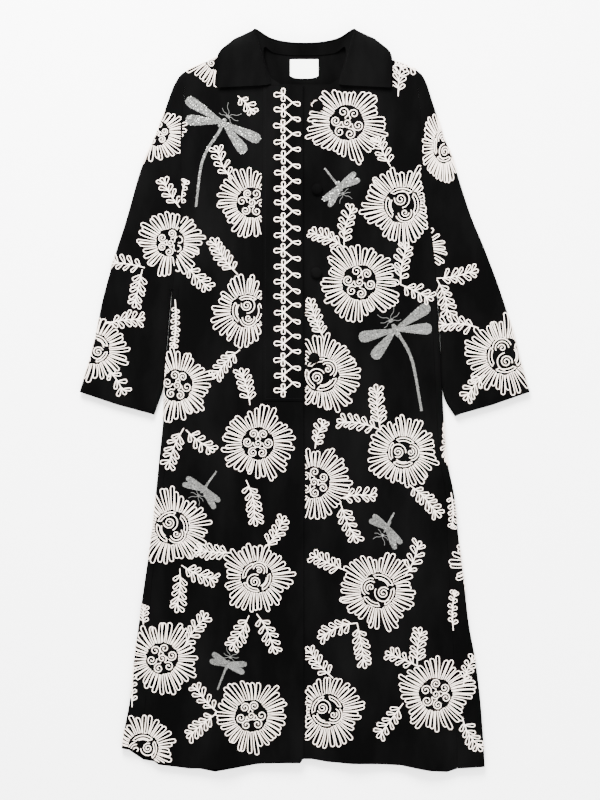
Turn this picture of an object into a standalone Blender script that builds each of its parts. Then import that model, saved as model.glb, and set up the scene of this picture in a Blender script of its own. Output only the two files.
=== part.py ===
"""Long velvet coat with corded flowers, laid flat on its back with the front up.

Sizes are in millimetres and are turned into metres as each point is made.
X runs across the coat, Y from hem to collar and Z up from the surface it lies on.
The wearer's right side is at minus X. Every panel is a sheet of cloth: an outer
skin worked out from the coat's outline, its rolled edges and its soft folds, and
a plain inner skin one wall further in.
"""
import math

import bmesh
import bpy
from mathutils import Vector
from mathutils.geometry import delaunay_2d_cdt

MM = 0.001
OBJECT_NAME = "long_coat"

# Cloth
WALL = 2.2
SEAM_GAP = 0.3
HALF_GAP = SEAM_GAP / 2
COAT_HEIGHT = 13.0
ROLL_WIDTH = 10.0
ROLL_HALF_HEIGHT = COAT_HEIGHT / 2
ROLL_QUARTER = math.pi / 2 * math.sqrt((ROLL_WIDTH ** 2 + ROLL_HALF_HEIGHT ** 2) / 2)
CORD_RAISE = 1.6
CORE_RAISE = 2.4

# Sides of the body: height up the coat, the two edges, and how far in each side seam lies
BODY_SIDES = [
    # y, right edge, left edge, right seam inset, left seam inset
    (200, -238, 237, 12, 12),
    (110, -246, 243, 14, 12),
    (30, -252, 247, 18, 12),
    (-30, -254, 250, 14, 12),
    (-100, -261, 255, 12, 12),
    (-170, -268, 269, 12, 15),
    (-240, -275, 276, 12, 20),
    (-320, -287, 286, 13, 26),
    (-400, -298, 295, 18, 30),
    (-460, -306, 306, 24, 38),
    (-530, -313, 315, 28, 44),
    (-590, -324, 320, 33, 47),
]
HEM_CORNER = {-1: (-329, -624, 36), 1: (324, -657, 50)}

# Shoulder and the outer edge of each sleeve, from the neck to the cuff
SHOULDER_POINTS = 5
SHOULDER_START_Y = 560.0
OUTER_EDGE = {
    -1: [(-84, 643), (-122, 630), (-160, 617), (-190, 604), (-219, 590), (-234, 569), (-246, 538),
         (-257, 506), (-270, 472), (-285, 440), (-299, 402), (-321, 324), (-344, 252), (-364, 178),
         (-375, 120), (-389, 66), (-404.5, 16)],
    1: [(84, 640), (122, 627), (160, 613), (187, 602), (208, 590), (219, 571), (229, 540),
        (240, 506), (250, 474), (263, 444), (278, 396), (299, 332), (323, 274), (350, 202),
        (374, 127), (388, 71), (404.5, 16)],
}
# Inner edge of each sleeve, from the armpit to the cuff
INNER_EDGE = {
    -1: [(-239, 200), (-247, 110), (-253.2, 31), (-270, -25)],
    1: [(238, 200), (244, 110), (249, 15), (270, -28)],
}
ARMPIT_Y = 200.5
UNDER_INSET = 24.0
CUFF_CLEAR = 6.0
# Armhole seam between the shoulder and the armpit
ARMHOLE = {
    -1: [(-220, 520), (-222, 452), (-222, 380), (-223, 326), (-229, 281), (-233, 235), (-239, 203)],
    1: [(208, 520), (209, 452), (211, 398), (218, 360), (225, 316), (231, 265), (235, 230),
        (238, 203)],
}
# Neckline of each front, from the shoulder to the front edge
FRONT_NECK = {
    -1: [(-77, 622), (-70, 600), (-60, 579), (-43, 568)],
    1: [(79, 620), (72, 598), (62, 578), (45, 568)],
}
BACK_NECK = [(-72, 630), (-56, 621), (-30, 617.5), (0, 616.5), (30, 617.5), (56, 620), (72, 628)]
FRONT_EDGE_X = -2.0
UNDERLAP_X = -24.0
LAP_RAISE = 4.0
LAP_START_X = -110.0
LAP_FULL_X = -30.0
FRONT_TOP_Y = 567.0

FRONT_HEM = {
    -1: [(-2, -641), (-8, -650), (-42, -650), (-78, -651), (-122, -656), (-161, -660),
         (-206, -660), (-262, -653)],
    1: [(-24, -641), (3, -641), (42, -648), (82, -651), (130, -652), (172, -654), (226, -664),
        (256, -666)],
}
BACK_HEM = [(-290, -645), (-206, -658), (-161, -667), (-122, -660), (-60, -648), (0, -644),
            (80, -645), (160, -650), (230, -658), (290, -660)]

# Soft folds of the skirt and body: a ridge from its top end to its lower end
FOLDS = [
    # x top, y top, x low, y low, height, half width
    (-128, 60, -145, -700, 7.5, 60),
    (-45, -60, -38, -560, 4.5, 38),
    (70, -260, 92, -700, 5.5, 50),
    (224, -20, 214, -700, 7.0, 56),
    (188, 330, 160, 150, 4.0, 34),
    (-118, 470, -175, 300, 3.0, 36),
    (-290, 330, -325, 90, 4.0, 34),
    (290, 300, 335, 110, 4.0, 34),
]
# Where the collar's fall lies under the back, the back is lifted clear of it
NECK_LIFT = 3.4
NECK_LIFT_HALF_X = 122.0
NECK_LIFT_START_Y = 530.0
NECK_LIFT_FULL_Y = 600.0

# Corded flowers: centre, radius, and 1 for a swirled rose or 0 for a ring of spirals
FLOWERS = {
    "front_right": [
        (-157, 618, 58, 0), (-103, 356, 65, 0), (-115, 160, 65, 1), (-229, 25, 68, 0),
        (-83, -76, 66, 0), (-238, -227, 68, 1), (-88, -317, 66, 1), (-252, -461, 66, 0),
        (-95, -567, 66, 0), (-290, -614, 56, 1),
    ],
    "front_left": [
        (79, 502, 72, 0), (175, 355, 72, 1), (101, 211, 72, 0), (31, 47, 70, 1),
        (180, -88, 68, 1), (20, -148, 66, 0), (133, -340, 70, 1), (45, -558, 66, 1),
        (236, -529, 68, 0),
    ],
    "sleeve_right_upper": [(-270, 466, 52, 0), (-241, 283, 58, 0), (-378, 94, 62, 1)],
    "sleeve_left_upper": [(246, 456, 66, 1), (360, 86, 66, 1)],
}
# Leaf sprigs: root and tip
SPRIGS = {
    "front_right": [
        (-130, 392, -158, 452), (-122, 227, -164, 288), (-115, 99, -160, 43),
        (-216, -43, -245, -115), (-216, -47, -166, -88), (-95, -13, -113, 54),
        (-104, -151, -88, -218), (-225, -304, -236, -376), (-223, -295, -162, -324),
        (-70, -266, -38, -212), (-121, -275, -191, -270), (-97, -380, -131, -441),
        (-85, -383, -52, -448), (-212, -399, -173, -367), (-149, -554, -198, -511),
        (-149, -562, -207, -603), (-230, 88, -239, 150),
    ],
    "front_left": [
        (158, 419, 133, 468), (72, 275, 86, 347), (67, 277, 14, 308), (176, 211, 185, 277),
        (176, 209, 225, 185), (36, 110, 12, 170), (139, -47, 130, 23), (137, -49, 65, -36),
        (189, -149, 239, -207), (18, -86, 36, -40), (61, -180, 124, -173), (65, -182, 95, -250),
        (74, -326, 16, -279), (176, -322, 209, -259), (94, -391, 31, -423), (104, -398, 106, -475),
        (52, -495, 13, -445), (205, -473, 211, -412), (202, -479, 153, -452),
        (178, -538, 135, -598), (160, 610, 184, 549),
    ],
    "sleeve_right_upper": [
        (-227, 353, -254, 394), (-290, 239, -340, 248), (-290, 227, -306, 171),
        (-353, 140, -292, 148), (-353, 54, -328, 14),
    ],
    "sleeve_left_upper": [
        (236, 220, 306, 234), (238, 216, 257, 155), (320, 122, 256, 132), (324, 45, 292, 4),
    ],
}
PETALS = 16
CLIP_BEVEL = 2.0
SPRIG_HALF_WIDTH = 15.0
SPRIG_LOBES = [(0.0, 0.2), (0.22, 0.95), (0.36, 0.6), (0.52, 1.0), (0.66, 0.6), (0.82, 0.8)]

# Front band with its looped braid
BAND_LEFT_X = -75.0
BAND_RIGHT_X = -3.5
BAND_TOP_Y = 565.0
BAND_BOTTOM_Y = 0.0
BAND_WALL = 1.5
BRAID_REPEATS = 20
BRAID_PITCH = 27.9
BRAID_TOP_Y = 552.0
BRAID_CHAIN_X = -38.0
BRAID_LOOP_X = -11.0
BRAID_WALL = 2.4

# Covered buttons on the left front, centre of each
BUTTONS = [(24, 529), (22.5, 380), (21, 230), (17, 77)]
BUTTON_RADIUS = 10.0
BUTTON_HEIGHT = 8.0
BUTTON_SHANK_RADIUS = 4.0
BUTTON_CLEAR = 14.0

# Neck label
LABEL_LEFT_X = -26.0
LABEL_RIGHT_X = 24.5
LABEL_BOTTOM_Y = 579.6
LABEL_TOP_Y = 613.8
LABEL_WALL = 0.8

# Collar stations from one front end round the neck: neck seam, roll line and outer edge
COLLAR_WALL = 2.2
COLLAR_HALF = [
    # seam x, y, z, roll x, y, z, edge x, y, z, share of the roll's height kept at the heel
    (61, 569, 19.5, 68, 566, 22.5, 155, 562, 19.4, 1.0),
    (64, 580, 20.0, 72, 590, 25.0, 156, 592, 19.4, 1.0),
    (70, 600, 20.0, 79, 622, 27.0, 155.5, 621, 19.4, 1.0),
    (74, 618, 19.5, 86, 647, 27.5, 139, 639, 15.0, 1.0),
    (72, 635, 16.0, 89, 666.2, 22.0, 112, 655, 3.0, 0.8),
    (56, 626, 9.0, 62, 651, 17.0, 76, 634, 1.4, 0.1),
    (30, 622, 8.0, 33, 644, 15.5, 38, 612, 1.4, 0.0),
]
COLLAR_BACK = (0, 621, 8.0, 0, 642, 15.5, 0, 606, 1.4, 0.0)
COLLAR_HEEL = 0.12

VELVET = (0.012, 0.012, 0.013)
CORD = (0.80, 0.74, 0.70)
LABEL = (0.76, 0.76, 0.73)


def smooth(t):
    """0 below 0, 1 above 1 and an even ramp between."""
    t = max(0.0, min(1.0, t))
    return t * t * (3 - 2 * t)


def underside(x, y):
    """Height of the back's lower skin above the surface."""
    across = smooth((NECK_LIFT_HALF_X + 30 - abs(x)) / 30)
    along = smooth((y - NECK_LIFT_START_Y) / (NECK_LIFT_FULL_Y - NECK_LIFT_START_Y))
    return NECK_LIFT * across * along


def fold_lift(x, y):
    """Height that the soft folds add at a point."""
    lift = 0.0
    for x_top, y_top, x_low, y_low, height, half_width in FOLDS:
        along = (y_top - y) / (y_top - y_low)
        across = abs(x - (x_top + (x_low - x_top) * along)) / half_width
        if across >= 1 or along <= 0 or along >= 1:
            continue
        end = smooth(along / 0.45)
        if y_low > -660:
            end *= smooth((1 - along) / 0.45)
        lift += height * end * math.cos(across * math.pi / 2) ** 2
    return lift


def top_height(x, y):
    """Height of the coat's upper skin."""
    return COAT_HEIGHT + underside(x, y) + fold_lift(x, y)


def lapped_height(x, y):
    """Upper skin of the right front, which lies over the left front's edge."""
    return top_height(x, y) + LAP_RAISE * smooth((x - LAP_START_X) / (LAP_FULL_X - LAP_START_X))


def sheet_normal(height, x, y):
    """Upward normal of a height function."""
    step = 2.0
    slope_x = (height(x + step, y) - height(x - step, y)) / (2 * step)
    slope_y = (height(x, y + step) - height(x, y - step)) / (2 * step)
    return Vector((-slope_x, -slope_y, 1)).normalized()


class RolledEdge:
    """An edge of the outline where the cloth rolls from the top to the underside."""

    def __init__(self, points, turn, level_start):
        self.points = [Vector(p) for p in points]
        self.normals = []
        last = len(self.points) - 1
        for i in range(last + 1):
            along = self.points[min(i + 1, last)] - self.points[max(i - 1, 0)]
            self.normals.append(Vector((-along.y, along.x)).normalized() * turn)
        if level_start:
            self.normals[0] = Vector((math.copysign(1, self.normals[0].x), 0))

    def inset(self, station, distance):
        """The point that lies a distance inside the edge at a station."""
        return tuple(self.points[station] - self.normals[station] * distance)

    def nearest(self, x, y):
        """Distance outside the edge, with the nearest edge point and the outward direction."""
        here = Vector((x, y))
        best = None
        for i in range(len(self.points) - 1):
            side = self.points[i + 1] - self.points[i]
            part = max(0.0, min(1.0, (here - self.points[i]).dot(side) / side.length_squared))
            point = self.points[i] + side * part
            normal = self.normals[i].lerp(self.normals[i + 1], part).normalized()
            gap = (here - point).length
            if best is None or gap < best[0]:
                best = (gap, (here - point).dot(normal), point, normal)
        return best[1:]

    def within(self, x, y, limit):
        """Move a point back so that it is no further out than a distance from the edge."""
        distance, point, normal = self.nearest(x, y)
        return (x, y) if distance <= limit else tuple(point + normal * limit)


def body_side(sign):
    """Edge points of the body from the armpit to the hem corner."""
    column = 1 if sign < 0 else 2
    return [(row[column], row[0]) for row in BODY_SIDES] + [HEM_CORNER[sign][:2]]


def side_insets(sign):
    column = 3 if sign < 0 else 4
    return [row[column] for row in BODY_SIDES] + [HEM_CORNER[sign][2]]


SHOULDER_ROLL = {s: RolledEdge(OUTER_EDGE[s], s, False) for s in (-1, 1)}
INNER_ROLL = {s: RolledEdge(INNER_EDGE[s], -s, True) for s in (-1, 1)}
SIDE_ROLL = {s: RolledEdge(body_side(s), s, True) for s in (-1, 1)}


class Column:
    """One line of points round a rolled edge, from the flat cloth to the seam beyond."""

    def __init__(self, edge, station, end, slide=0.0):
        self.normal = edge.normals[station]
        along = Vector((-self.normal.y, self.normal.x))
        self.point = edge.points[station] + along * slide
        self.start = self.point - self.normal * ROLL_WIDTH
        self.end = end

    def place(self, past, offset, height, from_top):
        """Point of the cloth a distance past the start of the roll, moved out by an offset."""
        upper = height(self.start.x, self.start.y)
        lower = underside(self.start.x, self.start.y)
        half = (upper - lower) / 2
        if past <= 2 * ROLL_QUARTER:
            angle = math.pi / 2 * (1 - past / ROLL_QUARTER) * (1 if from_top else -1)
            across = self.start + self.normal * ROLL_WIDTH * math.cos(angle)
            rise = Vector((across.x, across.y, lower + half + half * math.sin(angle)))
            lean = self.normal * math.cos(angle) / ROLL_WIDTH
            outward = Vector((lean.x, lean.y, math.sin(angle) / half)).normalized()
            return rise + outward * offset
        back = self.start - self.normal * (past - 2 * ROLL_QUARTER)
        if from_top:
            return Vector((back.x, back.y, underside(back.x, back.y) - offset))
        return Vector((back.x, back.y, height(back.x, back.y))) + \
            sheet_normal(height, back.x, back.y) * offset


def strip_levels(end):
    """Distances past the start of a roll at which every column has a point."""
    full = [k * ROLL_QUARTER / 2 for k in range(5)]
    if end > 2 * ROLL_QUARTER:
        return full + [end]
    return [end * k / 5 for k in range(6)]


def upper_skin(height):
    def place(x, y, offset):
        return Vector((x, y, height(x, y))) + sheet_normal(height, x, y) * offset
    return place


def lower_skin(x, y, offset):
    return Vector((x, y, underside(x, y) - offset))


def inside(polygon, x, y):
    hit = False
    for i, (x0, y0) in enumerate(polygon):
        x1, y1 = polygon[i - 1]
        if (y0 > y) != (y1 > y) and x < (x1 - x0) * (y - y0) / (y1 - y0) + x0:
            hit = not hit
    return hit


def clearance(polygon, x, y):
    """Distance from a point to the nearest side of a polygon."""
    here = Vector((x, y))
    best = 1e9
    for i, p in enumerate(polygon):
        a = Vector(polygon[i - 1])
        side = Vector(p) - a
        if side.length_squared == 0:
            continue
        part = max(0.0, min(1.0, (here - a).dot(side) / side.length_squared))
        best = min(best, (here - a - side * part).length)
    return best


def lattice(outline, step_x, step_y, margin):
    """Evenly spaced points inside an outline."""
    xs = [p[0] for p in outline]
    ys = [p[1] for p in outline]
    points = []
    for j in range(int((max(ys) - min(ys)) / step_y) + 1):
        for i in range(int((max(xs) - min(xs)) / step_x) + 1):
            x = min(xs) + (i + 0.5) * step_x
            y = min(ys) + (j + 0.5) * step_y
            if inside(outline, x, y) and clearance(outline, x, y) > margin:
                points.append((x, y))
    return points


def ring(x, y, reach, count, turn=0.0):
    angles = [2 * math.pi * (k + turn) / count for k in range(count)]
    return [(x + reach * math.cos(a), y + reach * math.sin(a)) for a in angles]


def flower_loops(x, y, radius):
    """Petal outline on the cloth, the raised edge inside it and the core."""
    tips = ring(x, y, radius, PETALS)
    notches = ring(x, y, radius * 0.87, PETALS, 0.5)
    outer = [p for pair in zip(tips, notches) for p in pair]
    return outer, ring(x, y, radius * 0.86, PETALS), ring(x, y, radius * 0.26, 6, 0.5)


def sprig_loops(x0, y0, x1, y1):
    """Lobed outline of a leaf sprig and the stem line along its top."""
    root, tip = Vector((x0, y0)), Vector((x1, y1))
    along = tip - root
    side = Vector((-along.y, along.x)).normalized() * SPRIG_HALF_WIDTH
    outline = [root + along * p + side * w for p, w in SPRIG_LOBES] + [tip]
    outline += [root + along * p - side * w for p, w in reversed(SPRIG_LOBES)]
    stem = [root + along * p for p in (0.18, 0.52, 0.85)]
    return [tuple(p) for p in outline], [tuple(p) for p in stem]


class Relief:
    """Corded motifs raised in a panel's outer skin."""

    def __init__(self, panel, clip):
        self.clip = clip
        self.closed = []
        self.stems = []
        self.tops = []
        self.cores = []
        for x, y, radius, _ in FLOWERS[panel]:
            outer, upper, core = flower_loops(x, y, radius)
            self.closed.append([clip(*p, 0.0) for p in outer])
            self.closed += [[clip(*p, CLIP_BEVEL) for p in loop] for loop in (upper, core)]
            self.tops.append(ring(x, y, radius * 0.875, PETALS))
            self.cores.append((x, y, 0.27 * radius))
        for row in SPRIGS[panel]:
            outline, stem = sprig_loops(*row)
            self.closed.append([clip(*p, 0.0) for p in outline])
            self.stems.append([clip(*p, CLIP_BEVEL) for p in stem])

    def height(self, x, y):
        """How far the outer skin stands off the cloth at a point."""
        if self.clip(x, y, CLIP_BEVEL / 2) != (x, y) or button_distance(x, y) < BUTTON_CLEAR:
            return 0.0
        if any(math.hypot(x - cx, y - cy) < radius for cx, cy, radius in self.cores):
            return CORE_RAISE
        if any(inside(top, x, y) for top in self.tops):
            return CORD_RAISE
        if any(math.hypot(x - sx, y - sy) < 0.5 for stem in self.stems for sx, sy in stem):
            return CORD_RAISE
        return 0.0


def triangulate(outline, points, closed=(), opened=()):
    """Delaunay triangles inside an outline, with the given lines as edges."""
    coords = [Vector(p) for p in outline]
    edges = [((i - 1) % len(outline), i) for i in range(len(outline))]
    for loop in list(closed) + list(opened):
        first = len(coords)
        coords += [Vector(p) for p in loop]
        edges += [(first + i, first + i + 1) for i in range(len(loop) - 1)]
        if loop in closed:
            edges.append((first + len(loop) - 1, first))
    coords += [Vector(p) for p in points]
    result = delaunay_2d_cdt(coords, edges, [], 0, 0.02)
    found = [key(*v) for v in result[0]]
    faces = []
    for face in result[2]:
        middle = [sum(found[i][axis] for i in face) / 3 for axis in (0, 1)]
        if inside(outline, *middle):
            faces.append([found[i] for i in face])
    return faces


def key(x, y, past=0.0):
    """Name of a point of a panel's flat cloth, or of a rolled strip."""
    return (round(x, 2), round(y, 2), round(past, 2))


def strip_faces(columns):
    faces = []
    for a, b in zip(columns, columns[1:]):
        names = [[key(c.start.x, c.start.y, past) for past in strip_levels(c.end)]
                 for c in (a, b)]
        for k in range(len(names[0]) - 1):
            faces.append([names[0][k], names[1][k], names[1][k + 1], names[0][k + 1]])
    return faces


def border_edges(faces):
    """Edges that only one face has."""
    used = {(face[i - 1], face[i]) for face in faces for i in range(len(face))}
    return [edge for edge in used if edge[::-1] not in used]


def same_turn(faces, flat_faces):
    """Strip faces turned the same way round as the flat faces that they meet."""
    flat = {(face[i - 1], face[i]) for face in flat_faces for i in range(len(face))}
    against = any((face[i - 1], face[i]) in flat for face in faces for i in range(len(face)))
    return [face[::-1] for face in faces] if against else faces


def cloth_panel(name, outline, points, surface, wall, material, relief=None, strips=(),
                height=None, from_top=True):
    """A sheet of cloth: an outer skin with its relief, an inner skin and the cut edge."""
    closed = relief.closed if relief else []
    stems = relief.stems if relief else []
    points = [p for p in points if all(clearance(loop, *p) > 1.5 for loop in closed)]
    flat_outer = triangulate(outline, points, closed, stems)
    rim = {a: b for a, b in border_edges(flat_outer)}
    walk = [next(iter(sorted(rim)))]
    for _ in range(len(rim) - 1):
        walk.append(rim[walk[-1]])
    flat_inner = triangulate([p[:2] for p in walk], points)
    rolled = []
    for columns in strips:
        rolled += same_turn(strip_faces(columns), flat_outer)
    places = {}
    for columns in strips:
        for column in columns:
            for past in strip_levels(column.end)[1:]:
                places[key(column.start.x, column.start.y, past)] = (column, past)
    mesh = bmesh.new()
    skins = []
    for faces, shift in ((flat_outer + rolled, 0.0), (flat_inner + rolled, -wall)):
        skin = {}
        for place in sorted({p for face in faces for p in face}):
            if place in places:
                column, past = places[place]
                spot = column.place(past, shift, height, from_top)
            else:
                raised = relief.height(*place[:2]) if relief and shift == 0 else 0.0
                spot = surface(place[0], place[1], shift + raised)
            skin[place] = mesh.verts.new(spot * MM)
        skins.append(skin)
        for face in faces:
            order = face if shift == 0 else face[::-1]
            mesh.faces.new([skin[p] for p in order])
    for a, b in sorted(border_edges(flat_outer + rolled)):
        mesh.faces.new((skins[0][b], skins[0][a], skins[1][a], skins[1][b]))
    return finish_mesh(name, mesh, material)


def finish_mesh(name, mesh, material, smooth_angle=40):
    bmesh.ops.triangulate(mesh, faces=mesh.faces[:])
    bmesh.ops.recalc_face_normals(mesh, faces=mesh.faces[:])
    data = bpy.data.meshes.new(name)
    mesh.to_mesh(data)
    mesh.free()
    data.materials.append(material)
    data.shade_smooth()
    data.set_sharp_from_angle(angle=math.radians(smooth_angle))
    shape = bpy.data.objects.new(name, data)
    PARTS.objects.link(shape)
    return shape


def starts(columns):
    return [tuple(column.start) for column in columns]


def shoulder_columns(sign):
    """The shoulder roll from the armhole seam to the neck, ending at the shoulder seam."""
    seam = SHOULDER_POINTS - 1
    end = ROLL_QUARTER - HALF_GAP
    first = Column(SHOULDER_ROLL[sign], seam, end, sign * HALF_GAP)
    return [first] + [Column(SHOULDER_ROLL[sign], s, end) for s in range(seam - 1, -1, -1)]


def clip_front(sign):
    """A front's motifs stop at the band, under the lap and short of the shoulder roll."""
    def clip(x, y, bevel):
        if y > SHOULDER_START_Y:
            x, y = SHOULDER_ROLL[sign].within(x, y, -ROLL_WIDTH - 1.5 - bevel)
        if sign > 0:
            return (max(x, 1.5 + bevel), y)
        if y > BAND_BOTTOM_Y - 3:
            return (min(x, BAND_LEFT_X - 2 - bevel), y)
        return (min(x, FRONT_EDGE_X - 2 - bevel), y)
    return clip


def clip_sleeve(sign):
    """A sleeve's motifs stop short of the cuff and where the sleeve's edges start to roll."""
    outer, inner = SHOULDER_ROLL[sign], INNER_ROLL[sign]
    cuff = inner.points[-1] - outer.points[-1]
    up_sleeve = Vector((-cuff.y, cuff.x)).normalized() * -sign

    def clip(x, y, bevel):
        x, y = outer.within(x, y, -ROLL_WIDTH - 1.5 - bevel)
        if y < ARMPIT_Y + 12:
            x, y = inner.within(x, y, -ROLL_WIDTH - 1.5 - bevel)
        short = CUFF_CLEAR + bevel - (Vector((x, y)) - outer.points[-1]).dot(up_sleeve)
        if short > 0:
            x, y = Vector((x, y)) + up_sleeve * short
        return (x, y)
    return clip


def button_distance(x, y):
    return min(math.hypot(x - bx, y - by) for bx, by in BUTTONS)


def build_front(sign, name, height):
    side = SIDE_ROLL[sign]
    insets = side_insets(sign)
    seam = [side.inset(s, insets[s] + HALF_GAP) for s in range(len(insets) - 1, -1, -1)]
    arm = [(x - sign * HALF_GAP, y) for x, y in reversed(ARMHOLE[sign])]
    shoulder = shoulder_columns(sign)
    outline = seam + arm + starts(shoulder) + FRONT_NECK[sign]
    edge_x = FRONT_EDGE_X if sign < 0 else UNDERLAP_X
    outline += [(sign * 20, FRONT_TOP_Y), (edge_x, FRONT_TOP_Y)]
    outline += [(edge_x, y) for y in (556, 544, 531)]
    outline += [(edge_x, y) for y in range(500, -600, -100)]
    outline += FRONT_HEM[sign]
    points = [p for p in lattice(outline, 22, 50, 7) if p[1] < NECK_LIFT_START_Y - 12]
    points += [p for p in lattice(outline, 22, 12, 5) if p[1] > NECK_LIFT_START_Y - 6]
    relief = Relief(name, clip_front(sign))
    if sign > 0:
        points = [p for p in points if button_distance(*p) > BUTTON_CLEAR] + BUTTONS
        for x, y in BUTTONS:
            seat = ring(x, y, BUTTON_CLEAR - 1, 8)
            relief.closed.append([(max(px, 1.5), py) for px, py in seat])
    cloth_panel(name, outline, points, upper_skin(height), WALL, velvet(), relief, [shoulder],
                height)


def build_back():
    strips, halves = [], {}
    for sign in (-1, 1):
        side = SIDE_ROLL[sign]
        insets = side_insets(sign)
        wrap = [Column(side, s, 2 * ROLL_QUARTER + insets[s] - ROLL_WIDTH - HALF_GAP)
                for s in range(len(insets))]
        arm = [(x - sign * HALF_GAP, y) for x, y in reversed(ARMHOLE[sign])]
        shoulder = shoulder_columns(sign)
        strips += [wrap, shoulder]
        halves[sign] = starts(wrap[::-1]) + arm + starts(shoulder)
    outline = halves[-1] + BACK_NECK + halves[1][::-1] + BACK_HEM[::-1]
    points = lattice(outline, 75, 105, 12)
    points += [(x, y) for x in range(-140, 141, 40) for y in (532, 548, 565, 582, 600)
               if clearance(outline, x, y) > 5]
    cloth_panel("back", outline, points, lower_skin, WALL, velvet(), None, strips, top_height,
                False)


def build_sleeve(sign, side_name):
    """The upper sleeve rolls round both edges; the under sleeve lies flat between its seams."""
    outer, inner = SHOULDER_ROLL[sign], INNER_ROLL[sign]
    seam = SHOULDER_POINTS - 1
    last = len(outer.points) - 1
    full = 2 * ROLL_QUARTER + UNDER_INSET - ROLL_WIDTH - HALF_GAP
    ends = {seam: ROLL_QUARTER - HALF_GAP, seam + 1: 1.3 * ROLL_QUARTER, seam + 2: 2 * ROLL_QUARTER}
    outside = [Column(outer, seam, ends[seam], -sign * HALF_GAP)]
    outside += [Column(outer, s, ends.get(s, full)) for s in range(seam + 1, last + 1)]
    inside_edge = [Column(inner, s, full) for s in range(len(inner.points) - 1, -1, -1)]
    arm = [(x + sign * HALF_GAP, y) for x, y in ARMHOLE[sign]]
    cuff = [outside[-1].start.lerp(inside_edge[0].start, part) - Vector((0, bow))
            for part, bow in ((0.25, 1.5), (0.5, 2.0), (0.75, 1.5))]
    outline = starts(outside) + [tuple(p) for p in cuff] + starts(inside_edge) + arm[::-1]
    name = "sleeve_" + side_name + "_upper"
    cloth_panel(name, outline, lattice(outline, 26, 42, 7), upper_skin(top_height), WALL,
                velvet(), Relief(name, clip_sleeve(sign)), [outside, inside_edge], top_height)

    under = [outer.inset(s, UNDER_INSET + HALF_GAP) for s in range(seam + 3, last + 1)]
    under += [inner.inset(s, UNDER_INSET + HALF_GAP) for s in range(len(inner.points) - 1, -1, -1)]
    under += arm[::-1][1:]
    cloth_panel("sleeve_" + side_name + "_under", under, lattice(under, 60, 60, 12),
                lower_skin, WALL, velvet())


def build_band():
    rows = 24
    outline = [(BAND_LEFT_X, BAND_BOTTOM_Y), (-56, BAND_BOTTOM_Y), (-38, BAND_BOTTOM_Y),
               (-20, BAND_BOTTOM_Y), (BAND_RIGHT_X, BAND_BOTTOM_Y)]
    step = (BAND_TOP_Y - BAND_BOTTOM_Y) / rows
    outline += [(BAND_RIGHT_X, BAND_BOTTOM_Y + step * k) for k in range(1, rows)]
    outline += [(BAND_RIGHT_X, BAND_TOP_Y), (-20, BAND_TOP_Y), (-42, BAND_TOP_Y + 1),
                (-60, BAND_TOP_Y), (BAND_LEFT_X, BAND_TOP_Y)]
    outline += [(BAND_LEFT_X, BAND_TOP_Y - step * k) for k in range(1, rows)]
    points = [(x, BAND_BOTTOM_Y + step * k) for x in (-56, -38, -20) for k in range(1, rows)]
    lift = 0.5 + BAND_WALL

    def surface(x, y, offset):
        return upper_skin(lapped_height)(x, y, offset) + Vector((0, 0, lift))

    cloth_panel("front_band", outline, points, surface, BAND_WALL, velvet())


def braid_holes(y):
    """The cut-through gaps of one repeat: left loop, zigzag triangle and right loop."""
    chain, loop = BRAID_CHAIN_X, BRAID_LOOP_X
    left = [(chain - 13.5, y), (chain - 9, y - 2.6), (chain - 4.2, y), (chain - 9, y + 2.6)]
    middle = [(chain + 3.4, y - 5.5), (loop - 7.4, y - 13.9), (chain + 3.4, y - 22.4)]
    right = [(loop - 2.6, y - 13.9), (loop, y - 16.5), (loop + 2.6, y - 13.9), (loop, y - 11.3)]
    return [left, middle, right]


def build_braid():
    """Looped cord braid down the band, one fused piece with its gaps cut through."""
    chain, loop = BRAID_CHAIN_X, BRAID_LOOP_X
    left_side, right_side, holes = [], [], []
    for k in range(BRAID_REPEATS):
        y = BRAID_TOP_Y - k * BRAID_PITCH
        left_side += [(chain - 5, y + 5.2), (chain - 13, y + 5.2), (chain - 17, y),
                      (chain - 13, y - 5.2), (chain - 5, y - 5.2), (chain - 2, y - 13.9)]
        if k < BRAID_REPEATS - 1:
            holes += braid_holes(y)
            right_side += [(chain + 4.5, y), (loop - 4.5, y - 9.2), (loop + 1, y - 7.4),
                           (loop + 5.2, y - 13.9), (loop + 1, y - 20.4), (loop - 4.5, y - 18.6)]
        else:
            holes.append(braid_holes(y)[0])
            left_side.pop()
            right_side += [(chain + 4.5, y + 2), (chain + 4.5, y - 4)]
    outline = [(chain + 2, BRAID_TOP_Y + 6)] + left_side + right_side[::-1]
    coords = [Vector(p) for p in outline]
    faces = [list(range(len(outline)))]
    for hole in holes:
        first = len(coords)
        coords += [Vector(p) for p in hole]
        faces.append([first + i for i in range(len(hole))])
    result = delaunay_2d_cdt(coords, [], faces, 1, 0.01)
    points = [tuple(v) for v in result[0]]
    kept = []
    for face in result[2]:
        cx = sum(points[i][0] for i in face) / 3
        cy = sum(points[i][1] for i in face) / 3
        if not any(inside(hole, cx, cy) for hole in holes):
            kept.append(face)
    base = 0.5 + BAND_WALL + 0.5
    mesh = bmesh.new()
    skins = []
    for offset in (base + BRAID_WALL, base):
        skins.append([mesh.verts.new(Vector((x, y, lapped_height(x, y) + offset)) * MM)
                      for x, y in points])
    directed = set()
    for face in kept:
        mesh.faces.new([skins[0][i] for i in face])
        mesh.faces.new([skins[1][i] for i in reversed(face)])
        for i in range(3):
            directed.add((face[i - 1], face[i]))
    for a, b in sorted(directed):
        if (b, a) not in directed:
            mesh.faces.new((skins[0][b], skins[0][a], skins[1][a], skins[1][b]))
    loose = [v for v in mesh.verts if not v.link_faces]
    bmesh.ops.delete(mesh, geom=loose, context="VERTS")
    return finish_mesh("front_braid", mesh, plain("cord", CORD, 0.7))


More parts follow.
